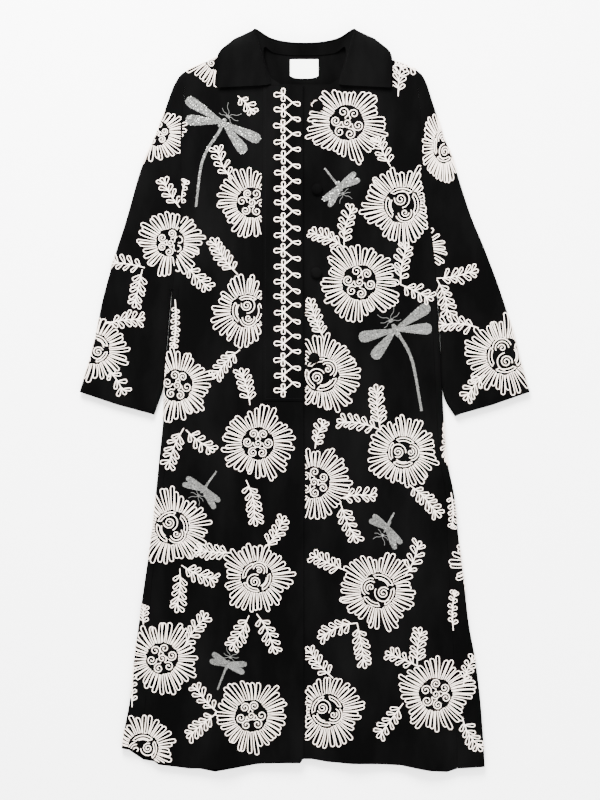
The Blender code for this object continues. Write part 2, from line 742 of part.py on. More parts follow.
def build_buttons():
    """Velvet-covered buttons, each a turned dome on a short shank."""
    profile = [(0, 0.4), (BUTTON_SHANK_RADIUS, 0.4), (BUTTON_SHANK_RADIUS, 2.4), (BUTTON_RADIUS, 3.2),
               (BUTTON_RADIUS, 4.6), (BUTTON_RADIUS * 0.8, 7.2), (BUTTON_RADIUS * 0.4, BUTTON_HEIGHT),
               (0, BUTTON_HEIGHT + 0.2)]
    for number, (x, y) in enumerate(BUTTONS, 1):
        mesh = bmesh.new()
        ring = [mesh.verts.new((r * MM, 0, z * MM)) for r, z in reversed(profile)]
        edges = [mesh.edges.new((ring[i], ring[i + 1])) for i in range(len(ring) - 1)]
        bmesh.ops.spin(mesh, geom=ring + edges, cent=(0, 0, 0), axis=(0, 0, 1),
                       angle=2 * math.pi, steps=16, use_merge=True)
        bmesh.ops.remove_doubles(mesh, verts=mesh.verts[:], dist=0.00005)
        shape = finish_mesh("button_" + str(number), mesh, plain("covered_button", VELVET, 0.6))
        shape.location = (x * MM, y * MM, top_height(x, y) * MM)


def build_label():
    outline = [(LABEL_LEFT_X, LABEL_TOP_Y), (LABEL_LEFT_X, LABEL_BOTTOM_Y + 4),
               (-14, LABEL_BOTTOM_Y + 0.8), (0, LABEL_BOTTOM_Y), (14, LABEL_BOTTOM_Y + 0.8),
               (LABEL_RIGHT_X, LABEL_BOTTOM_Y + 4), (LABEL_RIGHT_X, LABEL_TOP_Y), (0, LABEL_TOP_Y)]
    lift = WALL + 0.6 + LABEL_WALL

    def surface(x, y, offset):
        return Vector((x, y, underside(x, y) + lift + offset))

    points = [(x, y) for x in (-14, 0, 14) for y in (588, 600)]
    cloth_panel("neck_label", outline, points, surface, LABEL_WALL, plain("label", LABEL, 0.6))


def collar_section(row):
    """Points across the collar at one station: up the stand, over the roll, down the fall."""
    seam, roll, edge = Vector(row[0:3]), Vector(row[3:6]), Vector(row[6:9])
    heel = roll.lerp(edge, COLLAR_HEEL)
    heel.z = edge.z + (heel.z - edge.z) * row[9]
    points = [seam, seam.lerp(roll, 0.5), seam.lerp(roll, 0.88), roll, heel]
    return points + [heel.lerp(edge, part) for part in (0.35, 0.7, 1.0)]


def build_collar():
    """Shirt collar: it stands at the neck seam, rolls over and falls on the shoulders."""
    rows = []
    for sign in (-1, 1):
        side = []
        for row in COLLAR_HALF:
            side.append([value * sign if i in (0, 3, 6) else value for i, value in enumerate(row)])
        rows += side + [list(COLLAR_BACK)] if sign < 0 else side[::-1]
    mesh = bmesh.new()
    grid = [[mesh.verts.new(p * MM) for p in collar_section(row)] for row in rows]
    for i in range(len(grid) - 1):
        for j in range(len(grid[0]) - 1):
            mesh.faces.new((grid[i][j], grid[i][j + 1], grid[i + 1][j + 1], grid[i + 1][j]))
    bmesh.ops.recalc_face_normals(mesh, faces=mesh.faces[:])
    data = bpy.data.meshes.new("collar")
    mesh.to_mesh(data)
    mesh.free()
    data.materials.append(velvet())
    shape = bpy.data.objects.new("collar", data)
    PARTS.objects.link(shape)
    solid = shape.modifiers.new("wall", "SOLIDIFY")
    solid.thickness = COLLAR_WALL * MM
    solid.offset = 0.0
    solid.use_even_offset = False
    return shape


def plain(name, colour, roughness):
    material = bpy.data.materials.get(name)
    if material is None:
        material = bpy.data.materials.new(name)
        material.use_nodes = True
        shader = material.node_tree.nodes["Principled BSDF"]
        shader.inputs["Base Color"].default_value = (*colour, 1)
        shader.inputs["Roughness"].default_value = roughness
        shader.inputs["Metallic"].default_value = 0.0
    return material


def velvet():
    return plain("velvet", VELVET, 0.85)


for old in list(bpy.data.objects):
    bpy.data.objects.remove(old, do_unlink=True)
PARTS = bpy.data.collections.new(OBJECT_NAME)
bpy.context.scene.collection.children.link(PARTS)

build_back()
build_front(-1, "front_right", lapped_height)
build_front(1, "front_left", top_height)
build_sleeve(-1, "right")
build_sleeve(1, "left")
build_band()
build_braid()
build_buttons()
build_label()
build_collar()
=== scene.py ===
"""Looks of a long velvet coat with corded flowers, laid flat with its front up.

Every panel is a thin velvet shell on the form of its solid, with its creases listed
one by one. Sizes are in millimetres and become metres as each mesh is made. X runs
across the coat, Y from hem to collar and Z up. The wearer's right side is at minus X.
"""
import math
import random

import bmesh
import bpy
import numpy as np
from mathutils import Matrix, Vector
from mathutils.geometry import delaunay_2d_cdt


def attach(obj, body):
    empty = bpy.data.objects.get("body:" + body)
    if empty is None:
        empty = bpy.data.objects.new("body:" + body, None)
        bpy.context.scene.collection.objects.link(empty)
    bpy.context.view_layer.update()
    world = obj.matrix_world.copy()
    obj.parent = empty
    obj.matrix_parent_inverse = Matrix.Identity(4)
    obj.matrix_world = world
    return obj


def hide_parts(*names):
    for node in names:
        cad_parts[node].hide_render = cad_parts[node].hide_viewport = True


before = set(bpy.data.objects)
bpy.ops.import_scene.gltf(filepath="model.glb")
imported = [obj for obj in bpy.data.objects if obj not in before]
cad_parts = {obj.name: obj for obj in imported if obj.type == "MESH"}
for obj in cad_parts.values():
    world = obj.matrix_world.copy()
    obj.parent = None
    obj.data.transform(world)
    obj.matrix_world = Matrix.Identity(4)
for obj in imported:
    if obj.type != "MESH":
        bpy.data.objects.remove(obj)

bl_info = {
    "name": "Embroidered Velvet Coat",
    "version": (1, 0, 0),
    "blender": (4, 5, 0),
    "location": "View3D > Sidebar > Coat",
    "description": "Velvet, corded flowers, braid, buttons and stage of a long coat laid flat",
    "category": "Object",
}

MM = 0.001
SEED = 7
ROOT = "root"

# Form of the laid coat
COAT_HEIGHT = 13.0
ROLL_WIDTH = 10.0
ROLL_HALF_HEIGHT = COAT_HEIGHT / 2
ROLL_QUARTER = math.pi / 2 * math.sqrt((ROLL_WIDTH ** 2 + ROLL_HALF_HEIGHT ** 2) / 2)
HALF_GAP = 0.15
# How far out the armhole seam lies underneath, so that no light comes through both seams
UNDER_ARM = 1.2
UNDER_ROOM = 1.6
SEAM_DIP = 0.9
SEAM_DIP_REACH = 6.0

# Steps in which the cloth is drawn; the two shares are of the cloth's own step
SLOPE_STEP = 1.5
ROLL_STEP = 6.0
LEVEL_STEP = 3.3
FEWEST_LEVELS = 4
SAME_POINT = 1.5
ROW_SHARE = 0.87
BORDER_SHARE = 0.55
# Points of a roll between which its direction is taken at each end
END_SPAN = 8

# Sides of the body: height up the coat, the two edges, and how far in each side seam lies
BODY_SIDES = [
    # y, right edge, left edge, right seam inset, left seam inset
    (200, -238, 237, 12, 12),
    (110, -246, 243, 14, 12),
    (30, -252, 247, 18, 12),
    (-30, -254, 250, 14, 12),
    (-100, -261, 255, 12, 12),
    (-170, -268, 269, 12, 15),
    (-240, -275, 276, 12, 20),
    (-320, -287, 286, 13, 26),
    (-400, -298, 295, 18, 30),
    (-460, -306, 306, 24, 38),
    (-530, -313, 315, 28, 44),
    (-590, -324, 320, 33, 47),
]
HEM_CORNER = {-1: (-329, -624, 36), 1: (324, -657, 50)}

# Outer edge from the neck over the shoulder to the cuff; the shoulder is the fifth point
SHOULDER = 4
OUTER_EDGE = {
    -1: [(-84, 643), (-122, 630), (-160, 617), (-190, 604), (-219, 590), (-234, 569), (-246, 538),
         (-257, 506), (-270, 472), (-285, 440), (-299, 402), (-321, 324), (-344, 252), (-364, 178),
         (-375, 120), (-389, 66), (-404.5, 16)],
    1: [(84, 640), (122, 627), (160, 613), (187, 602), (208, 590), (219, 571), (229, 540),
        (240, 506), (250, 474), (263, 444), (278, 396), (299, 332), (323, 274), (350, 202),
        (374, 127), (388, 71), (404.5, 16)],
}
INNER_EDGE = {
    -1: [(-238.4, 200), (-246.4, 110), (-252.5, 31), (-270, -25)],
    1: [(237.4, 200), (243.4, 110), (248.5, 15), (270, -28)],
}
ARMPIT_Y = 200.5
UNDER_INSET = 24.0
ARMHOLE = {
    -1: [(-220, 520), (-222, 452), (-222, 380), (-223, 326), (-229, 281), (-233, 235), (-238, 200)],
    1: [(208, 520), (209, 452), (211, 398), (218, 360), (225, 316), (231, 265), (235, 230),
        (237, 200)],
}
FRONT_NECK = {
    -1: [(-77, 622), (-70, 600), (-60, 579), (-43, 568)],
    1: [(79, 620), (72, 598), (62, 578), (45, 568)],
}
BACK_NECK = [(-72, 637), (-56, 631), (-30, 628), (0, 627), (30, 628), (56, 631), (72, 636)]
FRONT_EDGE_X = -2.0
UNDERLAP_X = -24.0
LAP_RAISE = 4.0
LAP_START_X = -110.0
LAP_FULL_X = -30.0
FRONT_TOP_Y = 567.0
FRONT_HEM = {
    -1: [(-2, -641), (-8, -650), (-42, -650), (-78, -651), (-122, -656), (-161, -660),
         (-206, -660), (-262, -653)],
    1: [(-24, -641), (3, -641), (42, -648), (82, -651), (130, -652), (172, -654), (226, -664),
        (256, -666)],
}
BACK_HEM = [(-290, -645), (-206, -658), (-161, -667), (-122, -660), (-60, -648), (0, -644),
            (80, -645), (160, -650), (230, -658), (290, -660)]

# Soft folds of the solid: a ridge from its top end to its lower end
FOLDS = [
    # x top, y top, x low, y low, height, half width
    (-128, 60, -145, -700, 7.5, 60),
    (-45, -60, -38, -560, 4.5, 38),
    (70, -260, 92, -700, 5.5, 50),
    (224, -20, 214, -700, 7.0, 56),
    (188, 330, 160, 150, 4.0, 34),
    (-118, 470, -175, 300, 3.0, 36),
    (-290, 330, -325, 90, 4.0, 34),
    (290, 300, 335, 110, 4.0, 34),
]
# Share of a fold over which each end fades; one that comes below this height runs out at the hem
FOLD_FADE = 0.45
HEM_FOLD_Y = -660
# Creases of the velvet itself, uneven in length, depth and spacing
CREASES = [
    # x top, y top, x low, y low, bow, height, half width
    (-60, 40, -96, -470, 10, 1.6, 15), (-28, -90, -20, -610, -6, -1.4, 12),
    (-190, -60, -222, -520, 8, -1.7, 17), (-232, -180, -262, -640, -9, 1.5, 14),
    (-100, -350, -118, -690, 5, -1.6, 20), (-172, -420, -196, -690, -4, 1.5, 13),
    (-62, -430, -70, -690, 3, 1.2, 11), (-150, 250, -200, 70, 12, 1.3, 15),
    (-60, 500, -110, 300, -8, -1.0, 16), (-205, 540, -150, 400, 10, 1.3, 13),
    (-218, 330, -150, 290, -6, 1.7, 10), (-228, 265, -170, 205, 7, -1.5, 11),
    (-236, 190, -208, 20, 6, 1.3, 9), (-90, 200, -80, 60, 4, -0.9, 13),
    (40, 30, 58, -430, -8, 1.4, 15), (120, -60, 108, -560, 9, -1.7, 18),
    (160, -230, 178, -690, -6, 1.6, 14), (250, -260, 268, -640, 7, -1.4, 13),
    (30, -420, 22, -680, 4, 1.1, 12), (132, -480, 128, -700, -3, 1.5, 12),
    (60, -110, 88, -310, 6, -0.9, 12), (60, 470, 120, 330, -9, 1.1, 16),
    (198, 520, 150, 420, 8, -1.2, 12), (206, 350, 148, 300, 6, 1.8, 10),
    (224, 280, 172, 225, -7, -1.6, 11), (232, 190, 214, 10, 5, 1.4, 9),
    (100, 240, 128, 90, 7, 1.0, 13), (44, 190, 40, 40, 3, -0.8, 12),
    (-240, 520, -262, 400, 7, -1.4, 10), (-252, 430, -238, 300, -8, 1.6, 11),
    (-240, 300, -300, 230, 8, 1.6, 11), (-262, 225, -330, 150, -7, -1.5, 12),
    (-300, 190, -340, 60, 5, 1.2, 10), (-345, 170, -380, 50, -5, -1.3, 12),
    (-270, 110, -318, -10, 4, -1.2, 11), (232, 510, 256, 390, -7, -1.4, 10),
    (246, 420, 232, 300, 8, 1.5, 11), (238, 290, 300, 215, -8, 1.7, 11),
    (258, 215, 322, 140, 7, -1.5, 12), (300, 170, 345, 50, -5, 1.3, 10),
    (340, 180, 378, 60, 5, -1.2, 12), (264, 110, 310, -10, -4, -1.2, 11),
]
# Shares of a crease over which its two ends fade, and how fast it falls off sideways
CREASE_FADE = (0.30, 0.35)
CREASE_FALL = 1.6
# Hollows of the underside, where the cloth lifts off the surface
UNDER_CREASES = [
    (-180, 480, -120, 200, 10, 1.4, 16), (150, 470, 90, 180, -12, 1.6, 18),
    (-40, 300, -70, -60, 8, 1.3, 14), (60, 120, 110, -260, -9, 1.7, 17),
    (-150, 60, -210, -380, 12, 1.8, 19), (200, -60, 240, -420, -8, 1.4, 15),
    (-20, -180, -60, -560, 9, 1.6, 18), (130, -330, 160, -650, 6, 1.9, 20),
    (-230, -420, -260, -640, -7, 1.5, 15), (30, -460, 20, -650, 4, 1.2, 12),
    (-250, 240, -310, 60, 6, 1.2, 12), (260, 230, 330, 40, -6, 1.3, 12),
]
NECK_LIFT = 3.4
NECK_LIFT_HALF_X = 122.0
NECK_LIFT_FADE = 30.0
NECK_LIFT_START_Y = 530.0
NECK_LIFT_FULL_Y = 600.0

# Where motifs may lie: how far inside a seam, past a hem, beside the band and below the collar
SEAM_ROOM = 1.5
HEM_ROOM = 5.0
EDGE_ROOM = 3.0
BAND_ROOM = 2.5
LEFT_EDGE_X = 1.5
LEFT_HEM_Y = -636
FRONT_TOP_ROOM_Y = 600
NECK_BORDER = [(158.5, 640), (158.5, 560), (80, 556), (30, 562)]
# Above these heights a motif of the body or the sleeve may run over the shoulder's roll.
BODY_ROLL_Y = 545
SLEEVE_ROLL_Y = -100
# A flower whose centre is this far inside its panel has its petals kept inside too.
FIT_FROM = 22.0
FIT_STEP = 3.0
SHORTEST_PETAL = 8
# Cut ends of cord shorter than this are left off.
SHORT_END = 5.0
CUT_HALVINGS = 6
# How a petal swells: share of its length, and share of the way from its base's to its tip's width
PETAL_SWELL = [(0.0, 0.0), (0.3, 0.55), (0.65, 0.92)]
# Last turn of a petal before its tip, as shares of the tip's half width
PETAL_END = (0.32, 0.74)
# A flower: share of its radius that a rose and a ring of spirals take, petals for each
# millimetre of radius, and mean reach of a petal with how much that waves and strays
ROSE_SHARE = 0.46
RING_SHARE = 0.44
PETALS_A_MM = 0.51
PETAL_REACH = 0.92
REACH_WAVE = 0.10
REACH_STRAY = 0.08
# How far petals stray sideways, as a share of their spacing, and how much they lean and sway
PETAL_STRAY = 0.22
PETAL_LEAN = 0.11
PETAL_SWAY = 0.09
# Half width of a petal's tip in a flower of this radius or more, and the widest base
PETAL_TIP = (3.0, 4.0)
FULL_TIP_RADIUS = 64
WIDEST_BASE = 1.35
# Room between the core's lines and the petals
ROSE_GAP = 4.0
RING_GAP = 3.0
# The ring of small spirals as shares of its size: reach of the middle one, reach and distance of
# the others, and where the cord to each of them starts
MIDDLE_SPIRAL = 0.30
RING_SPIRAL = 0.35
RING_AT = 0.69
RING_ROOT = 0.26
RING_COUNT = 6
# Points in each turn of a spiral, and how far it closes towards its middle
SPIRAL_POINTS = 10
SPIRAL_CLOSE = 0.84
# The rose as shares of its size. Coils: centre, reach, turns, start, way
ROSE_COILS = [(-0.24, 0.26, 0.38, 1.8, 3.4, 1), (0.36, -0.34, 0.25, 1.3, 0.4, -1)]
# Single folds round the coils: centre, reach, first and last angle
ROSE_FOLDS = [
    (-0.24, 0.26, 0.53, -0.9, 1.9), (0.36, -0.34, 0.40, -2.6, 0.9), (0.36, -0.34, 0.57, -2.3, 0.5),
    (-0.05, -0.04, 0.62, 3.1, 4.3),
]
# Folded petals: centre, outer reach, width, first and last angle
ROSE_PETALS = [
    (0.0, 0.0, 0.97, 0.19, -0.05, 1.2), (0.0, 0.0, 0.98, 0.18, 1.5, 2.9),
    (0.0, 0.0, 0.97, 0.20, 3.1, 4.6),
]
# A sprig: spacing of its pairs of leaves, length and half width of a leaf, its angle to the stem
# in degrees, and the shares of the stem where the first pair and the last loop sit
PAIR_SPACING = 13.5
LEAF = (18.0, 3.0)
LEAF_ANGLE = (42, 58)
FIRST_PAIR = 0.16
LAST_LEAF_AT = 0.86
# The loop at a sprig's tip: least length, length as a share of the sprig's, and half width
LAST_LEAF = (15.0, 0.23, 3.2)
STEM_POINTS = (0, 0.2, 0.4, 0.6, 0.78, 0.9)
STEM_BEND = 0.09

# Corded flowers: centre, radius, swirled rose or ring of spirals, and how narrow it looks
FLOWERS = {
    "body_right": [
        (-157, 618, 58, 0, 1), (-95, 356, 65, 0, 1), (-103, 162, 67, 1, 1), (-84, -76, 68, 0, 1),
        (-86, -316, 65, 1, 1), (-96, -565, 68, 0, 1), (-256, -462, 68, 0, 1),
        (-290, -624, 62, 1, 1), (-238, -227, 70, 1, 1), (-229, 28, 68, 0, 0.95),
    ],
    "body_left": [
        (76, 499, 74, 0, 1), (175, 352, 74, 1, 1), (98, 213, 74, 0, 1), (30, 48, 72, 1, 1),
        (17, -146, 68, 0, 1), (177, -92, 66, 1, 1), (132, -340, 72, 1, 1), (40, -556, 68, 1, 1),
        (235, -526, 70, 0, 1), (264, -74, 48, 0, 0.45), (334, -290, 74, 1, 1),
    ],
    "sleeve_right": [
        (-266, 481, 56, 0, 1), (-241, 284, 61, 0, 1), (-377, 94, 62, 1, 1),
    ],
    "sleeve_left": [
        (250, 457, 68, 1, 0.66), (359, 81, 74, 1, 1), (206, 272, 48, 0, 1),
    ],
}
# Leaf sprigs: root, tip and width
SPRIGS = {
    "body_right": [
        (-120, 547, -95, 520, 0.8), (-131, 398, -156, 452, 1), (-221, 349, -213, 396, 0.5),
        (-120, 227, -163, 288, 1),
        (-116, 92, -159, 45, 1), (-217, -49, -244, -117, 1), (-213, -52, -167, -86, 1),
        (-98, -7, -114, 52, 1), (-105, -142, -91, -218, 1), (-224, -301, -231, -373, 1),
        (-221, -295, -161, -319, 1), (-73, -265, -39, -211, 1), (-131, -272, -192, -268, 1),
        (-100, -385, -131, -441, 1), (-86, -382, -55, -448, 1), (-217, -443, -176, -387, 1),
        (-156, -558, -195, -513, 1), (-158, -560, -206, -601, 1), (-232, 182, -236, 92, 0.5),
        (-309, -549, -309, -477, 0.6), (-289, -401, -287, -371, 0.6),
    ],
    "body_left": [
        (154, 421, 134, 468, 1), (71, 275, 12, 301, 1), (71, 275, 87, 346, 1),
        (172, 209, 184, 277, 1), (172, 209, 224, 184, 1), (35, 110, 8, 180, 0.9),
        (19, -85, 35, -40, 0.8), (64, -175, 123, -171, 1), (64, -182, 93, -248, 1),
        (136, -52, 64, -38, 1), (136, -52, 129, 23, 1), (186, -149, 238, -205, 1),
        (73, -304, 15, -277, 1), (181, -313, 204, -257, 1), (94, -398, 30, -425, 1),
        (94, -398, 107, -473, 1), (51, -497, 8, -445, 1), (202, -475, 152, -454, 1),
        (202, -475, 208, -412, 1), (177, -542, 134, -599, 1), (283, -569, 316, -622, 1),
        (285, -509, 303, -463, 0.8), (168, 547, 177, 616, 1), (262, -164, 264, -229, 0.6),
        (267, -412, 271, -340, 0.6), (150, 600, 196, 596, 0.8),
    ],
    "sleeve_right": [
        (-224, 347, -253, 394, 1), (-287, 239, -343, 248, 1), (-291, 236, -305, 173, 1),
        (-213, 243, -174, 205, 1), (-356, 139, -293, 146, 1), (-354, 56, -327, 18, 1),
    ],
    "sleeve_left": [
        (236, 220, 305, 234, 1), (236, 220, 256, 155, 1), (312, 131, 244, 135, 1),
        (323, 47, 292, 7, 1),
    ],
}
# Flowers and sprigs of the back, which lies underneath
BACK_FLOWERS = [
    (-150, 500, 62, 0), (18, 470, 66, 1), (158, 430, 62, 0), (-70, 340, 66, 1), (96, 292, 64, 0),
    (-165, 205, 66, 0), (12, 160, 66, 1), (166, 130, 60, 1), (-92, 14, 66, 0), (88, -26, 68, 1),
    (-188, -126, 66, 1), (-4, -158, 64, 0), (196, -150, 66, 0), (-108, -288, 68, 0),
    (82, -302, 66, 1), (-222, -404, 62, 1), (-26, -430, 68, 1), (186, -416, 68, 0),
    (-124, -562, 66, 0), (58, -572, 66, 1), (238, -566, 60, 0),
]
BACK_SPRIGS = [
    (-112, 448, -60, 428), (-190, 450, -196, 392), (80, 500, 122, 530), (62, 420, 96, 372),
    (-130, 300, -184, 300), (-14, 290, 24, 250), (150, 250, 188, 210), (-110, 250, -70, 268),
    (-40, 110, -20, 60), (76, 190, 110, 218), (-150, 60, -205, 90), (-40, -40, -30, -92),
    (150, 20, 196, 40), (150, -70, 140, 0), (-130, -90, -88, -66), (60, -140, 50, -100),
    (-160, -190, -170, -250), (130, -230, 150, -262), (-60, -220, -20, -260), (10, -330, -44, -350),
    (-176, -340, -232, -320), (146, -330, 196, -336), (-90, -370, -60, -402), (96, -380, 80, -440),
    (-170, -450, -130, -480), (250, -390, 282, -330), (40, -460, 100, -480), (-190, -580, -236, -600),
    (0, -520, -34, -520), (130, -560, 158, -512), (-60, -610, -20, -632), (180, -600, 150, -636),
]
UNDER_SLEEVE_FLOWERS = {
    -1: [(-330, 80, 46, 0), (-272, 300, 40, 1)],
    1: [(328, 84, 46, 1), (264, 300, 38, 0)],
}

# Sequin dragonflies: body, head, wing tips, tail, half width of a wing and panel
DRAGONFLIES = [
    ((-147, 500), (-139, 509), [(-212, 542), (-213, 505), (-80, 468), (-107, 446)],
     [(-152, 486), (-183, 432), (-195, 349)], 9.6, "body_right"),
    ((-181, -158), (-189, -168), [(-219, -149), (-212, -137), (-152, -180), (-161, -193)],
     [(-176, -151), (-158, -126)], 5.4, "body_right"),
    ((-138, -472), (-134, -461), [(-170, -466), (-165, -452), (-104, -472), (-109, -488)],
     [(-142, -481), (-156, -517)], 5.4, "body_right"),
    ((64, 385), (68, 374), [(91, 410), (99, 397), (33, 360), (44, 349)],
     [(57, 391), (36, 418)], 5.4, "body_left"),
    ((163, 128), (156, 142), [(224, 171), (228, 130), (98, 113), (123, 77)],
     [(171, 116), (193, 72), (210, -18)], 10.2, "body_left"),
    ((148, -227), (141, -239), [(116, -214), (123, -205), (163, -266), (174, -256)],
     [(152, -216), (161, -200)], 5.4, "body_left"),
]

# Forms of a dragonfly: share of the length and share of the half width. Wings narrower than
# LONG_FORM are short and full.
LONG_WING = [(0.0, 0.22), (0.2, 0.42), (0.45, 0.68), (0.7, 0.92), (0.86, 1.0), (0.96, 0.78), (1.0, 0.35)]
SHORT_WING = [(0.0, 0.80), (0.3, 0.92), (0.7, 1.0), (0.88, 0.88), (0.97, 0.6), (1.0, 0.3)]
LONG_FORM = 7.0
ROUND = [(0.0, 0.45), (0.15, 0.85), (0.5, 1.0), (0.85, 0.85), (1.0, 0.45)]
FILL_STEP = 5.0
BACKING_WALL = 0.0004
FEELER = 0.0009
# Threads in front of the head: turn from straight ahead and share of the reach
FEELERS = [(-1.5, 0.8), (-0.85, 1.0), (-0.3, 1.3), (0.35, 1.3), (0.9, 0.9), (1.5, 0.8)]

# Front band with its looped braid
BAND = (-75.0, -3.5, 0.0, 565.0)
BAND_LIFT = 2.0
BAND_WALL = 0.0015
BAND_GRID = (114, 15)
BAND_EDGE_DIP = 0.8
BAND_EDGE_REACH = 4.0
STITCH_INSET = 4.5
STITCH_END_INSET = 3.0
BRAID_REPEATS = 20
BRAID_PITCH = 27.9
BRAID_TOP_Y = 549.0
BRAID_CHAIN_X = -38.0
BRAID_STRAY = 0.8
# Length and half width of the knot's loops: to the side, up and down
BRAID_LOOPS = [(16.5, 3.9), (11.4, 3.3), (11.8, 3.3)]
EDGE_LOOP = (13.5, 3.4)
EDGE_LOOP_REACH = 17.0

BUTTONS = [(24, 529), (22.5, 380), (21, 230), (17, 77)]
# Section of a covered button: share of its radius and height over the cloth
BUTTON_PROFILE = [(0.42, 0.5), (0.42, 2.6), (0.93, 3.0), (1.0, 3.6), (1.0, 4.4), (0.95, 5.4),
                  (0.82, 6.5), (0.62, 7.3), (0.38, 7.8), (0.18, 8.0), (0.0, 8.05)]
BUTTON_SIDES = 40
LABEL = (-26.0, 24.5, 579.6, 613.8)
LABEL_LIFT = 3.7
LABEL_WALL = 0.0006
LABEL_GRID = (17, 25)
# How far the label's ends hang below its middle: gently inside and steeply at the corners
LABEL_BOW = 1.2
LABEL_CORNER_BOW = 4.0

# Collar stations from one front end round the neck: neck seam, roll line and outer edge
COLLAR_HALF = [
    # seam x, y, z, roll x, y, z, edge x, y, z, share of the roll's height kept at the heel
    (61, 569, 19.5, 68, 566, 22.5, 155, 562, 19.4, 1.0),
    (64, 580, 20.0, 72, 590, 25.0, 156, 592, 19.4, 1.0),
    (70, 600, 20.0, 79, 622, 27.0, 155.5, 621, 19.4, 1.0),
    (74, 618, 19.5, 86, 647, 27.5, 139, 639, 15.0, 1.0),
    (72, 635, 16.0, 89, 666.2, 22.0, 112, 655, 3.0, 0.8),
    (56, 626, 9.0, 62, 651, 17.0, 76, 634, 2.0, 0.2),
    (30, 622, 8.0, 33, 644, 15.5, 38, 612, 2.0, 0.14),
]
COLLAR_BACK = (0, 621, 8.0, 0, 642, 15.5, 0, 606, 2.0, 0.14)
COLLAR_HEEL = 0.12
COLLAR_WALL = 0.0022

# Stage: half the floor's width and its height in millimetres, then metres and watts
FLOOR_HALF = 4000
FLOOR_Z = -0.4
ROOM_LIGHT = 3.1
LAMPS = [
    # name, place, size, power
    ("key", (-0.5, 2.2, 1.9), 1.4, 560.0),
    ("fill", (0.9, -1.8, 2.2), 1.8, 90.0),
]
PICTURE_HEIGHT = 1.44
PICTURE_MIDDLE = (-0.0083, 0.0018)
SENSOR_HEIGHT = 24.0
LENS = 75.0


def linear(code):
    """Linear colour of an sRGB hex value."""
    values = [int(code[i:i + 2], 16) / 255 for i in (1, 3, 5)]
    return [v / 12.92 if v <= 0.04045 else ((v + 0.055) / 1.055) ** 2.4 for v in values]


def size(name, description, default, low, high):
    """A size in metres that the panel shows."""
    return bpy.props.FloatProperty(
        name=name, description=description, default=default, min=low, max=high, unit="LENGTH")


def colour(name, description, code):
    """A colour that the panel shows, given as an sRGB hex value."""
    return bpy.props.FloatVectorProperty(
        name=name, description=description, subtype="COLOR", default=linear(code), min=0, max=1)


class CoatSizes(bpy.types.PropertyGroup):
    """Sizes of the cloth, cord and trim."""

    wall: size("Cloth thickness", "Velvet with its lining", 0.002, 0.001, 0.003)
    cloth_step: size("Cloth detail", "Distance between the points of a panel", 0.0065, 0.003, 0.02)
    cord: size("Cord", "Width of the couched cord", 0.0018, 0.001, 0.005)
    under_cord: size("Cord underneath", "Height of the cord that the coat lies on", 0.0018, 0.001, 0.003)
    braid_cord: size("Braid cord", "Width of the cord of the looped braid", 0.0020, 0.001, 0.005)
    bead: size("Sequin", "Width of one sequin of the dragonflies", 0.0017, 0.001, 0.004)
    button: size("Button", "Width of a covered button", 0.020, 0.01, 0.03)
    stitch: size("Stitch", "Length of one topstitch", 0.0020, 0.001, 0.006)


class CoatColours(bpy.types.PropertyGroup):
    """Colours of the coat and of the stage."""

    velvet: colour("Velvet", "Colour looking into the pile", "#020202")
    # Nap: painted sheen of the brushed pile, a lighter grey in random patches
    nap: colour("Nap", "Colour where the pile is brushed", "#050505")
    cord: colour("Cord", "Colour of the cotton cord", "#F4E6DB")
    # Cord shade: painted shade in the groove between the plies
    ply_painted_shade: colour("Cord shade", "Colour between the plies of the cord", "#C4B09F")
    sequin: colour("Sequin", "Colour of the dragonflies", "#80807C")
    label: colour("Label", "Colour of the neck label", "#ECECE9")
    floor: colour("Floor", "Colour of the pale floor", "#FBFBFB")


def smooth(t):
    t = np.clip(t, 0.0, 1.0)
    return t * t * (3 - 2 * t)


def spread(x, y, row):
    """Share of a crease's height at each point, 1 along the middle of its line."""
    x_top, y_top, x_low, y_low, bow, _, half_width = row
    line = np.array([x_low - x_top, y_low - y_top], float)
    long = np.hypot(*line)
    line /= long
    along = ((x - x_top) * line[0] + (y - y_top) * line[1]) / long
    across = -(x - x_top) * line[1] + (y - y_top) * line[0] - bow * 4 * along * (1 - along)
    ends = smooth(along / CREASE_FADE[0]) * smooth((1 - along) / CREASE_FADE[1])
    return ends * np.exp(-(across / half_width) ** 2 * CREASE_FALL)


def creases(x, y, rows):
    return sum(row[5] * spread(x, y, row) for row in rows)


def neck_lift(x, y):
    """How far the cloth lifts at the neck, where the collar is tucked under it."""
    across = smooth((NECK_LIFT_HALF_X + NECK_LIFT_FADE - np.abs(x)) / NECK_LIFT_FADE)
    along = smooth((y - NECK_LIFT_START_Y) / (NECK_LIFT_FULL_Y - NECK_LIFT_START_Y))
    return NECK_LIFT * across * along


def underside(x, y):
    """Height of the back's lower skin, with room for the pressed cord under it."""
    return UNDER_ROOM + neck_lift(x, y) + creases(x, y, UNDER_CREASES)


def fold_lift(x, y):
    """Height that the soft folds add at each point."""
    lift = np.zeros(np.shape(x))
    for x_top, y_top, x_low, y_low, height, half_width in FOLDS:
        along = (y_top - y) / (y_top - y_low)
        across = np.abs(x - (x_top + (x_low - x_top) * along)) / half_width
        end = smooth(along / FOLD_FADE)
        if y_low > HEM_FOLD_Y:
            end = end * smooth((1 - along) / FOLD_FADE)
        ridge = np.cos(np.clip(across, 0, 1) * math.pi / 2) ** 2
        lift = lift + np.where((along > 0) & (along < 1), height * end * ridge, 0.0)
    return lift


def top_height(x, y):
    """Height of the coat's upper skin."""
    return COAT_HEIGHT + neck_lift(x, y) + fold_lift(x, y) + creases(x, y, CREASES)


def lapped_height(x, y):
    """Upper skin of the right front, which lies over the left front's edge."""
    return top_height(x, y) + LAP_RAISE * smooth((x - LAP_START_X) / (LAP_FULL_X - LAP_START_X))


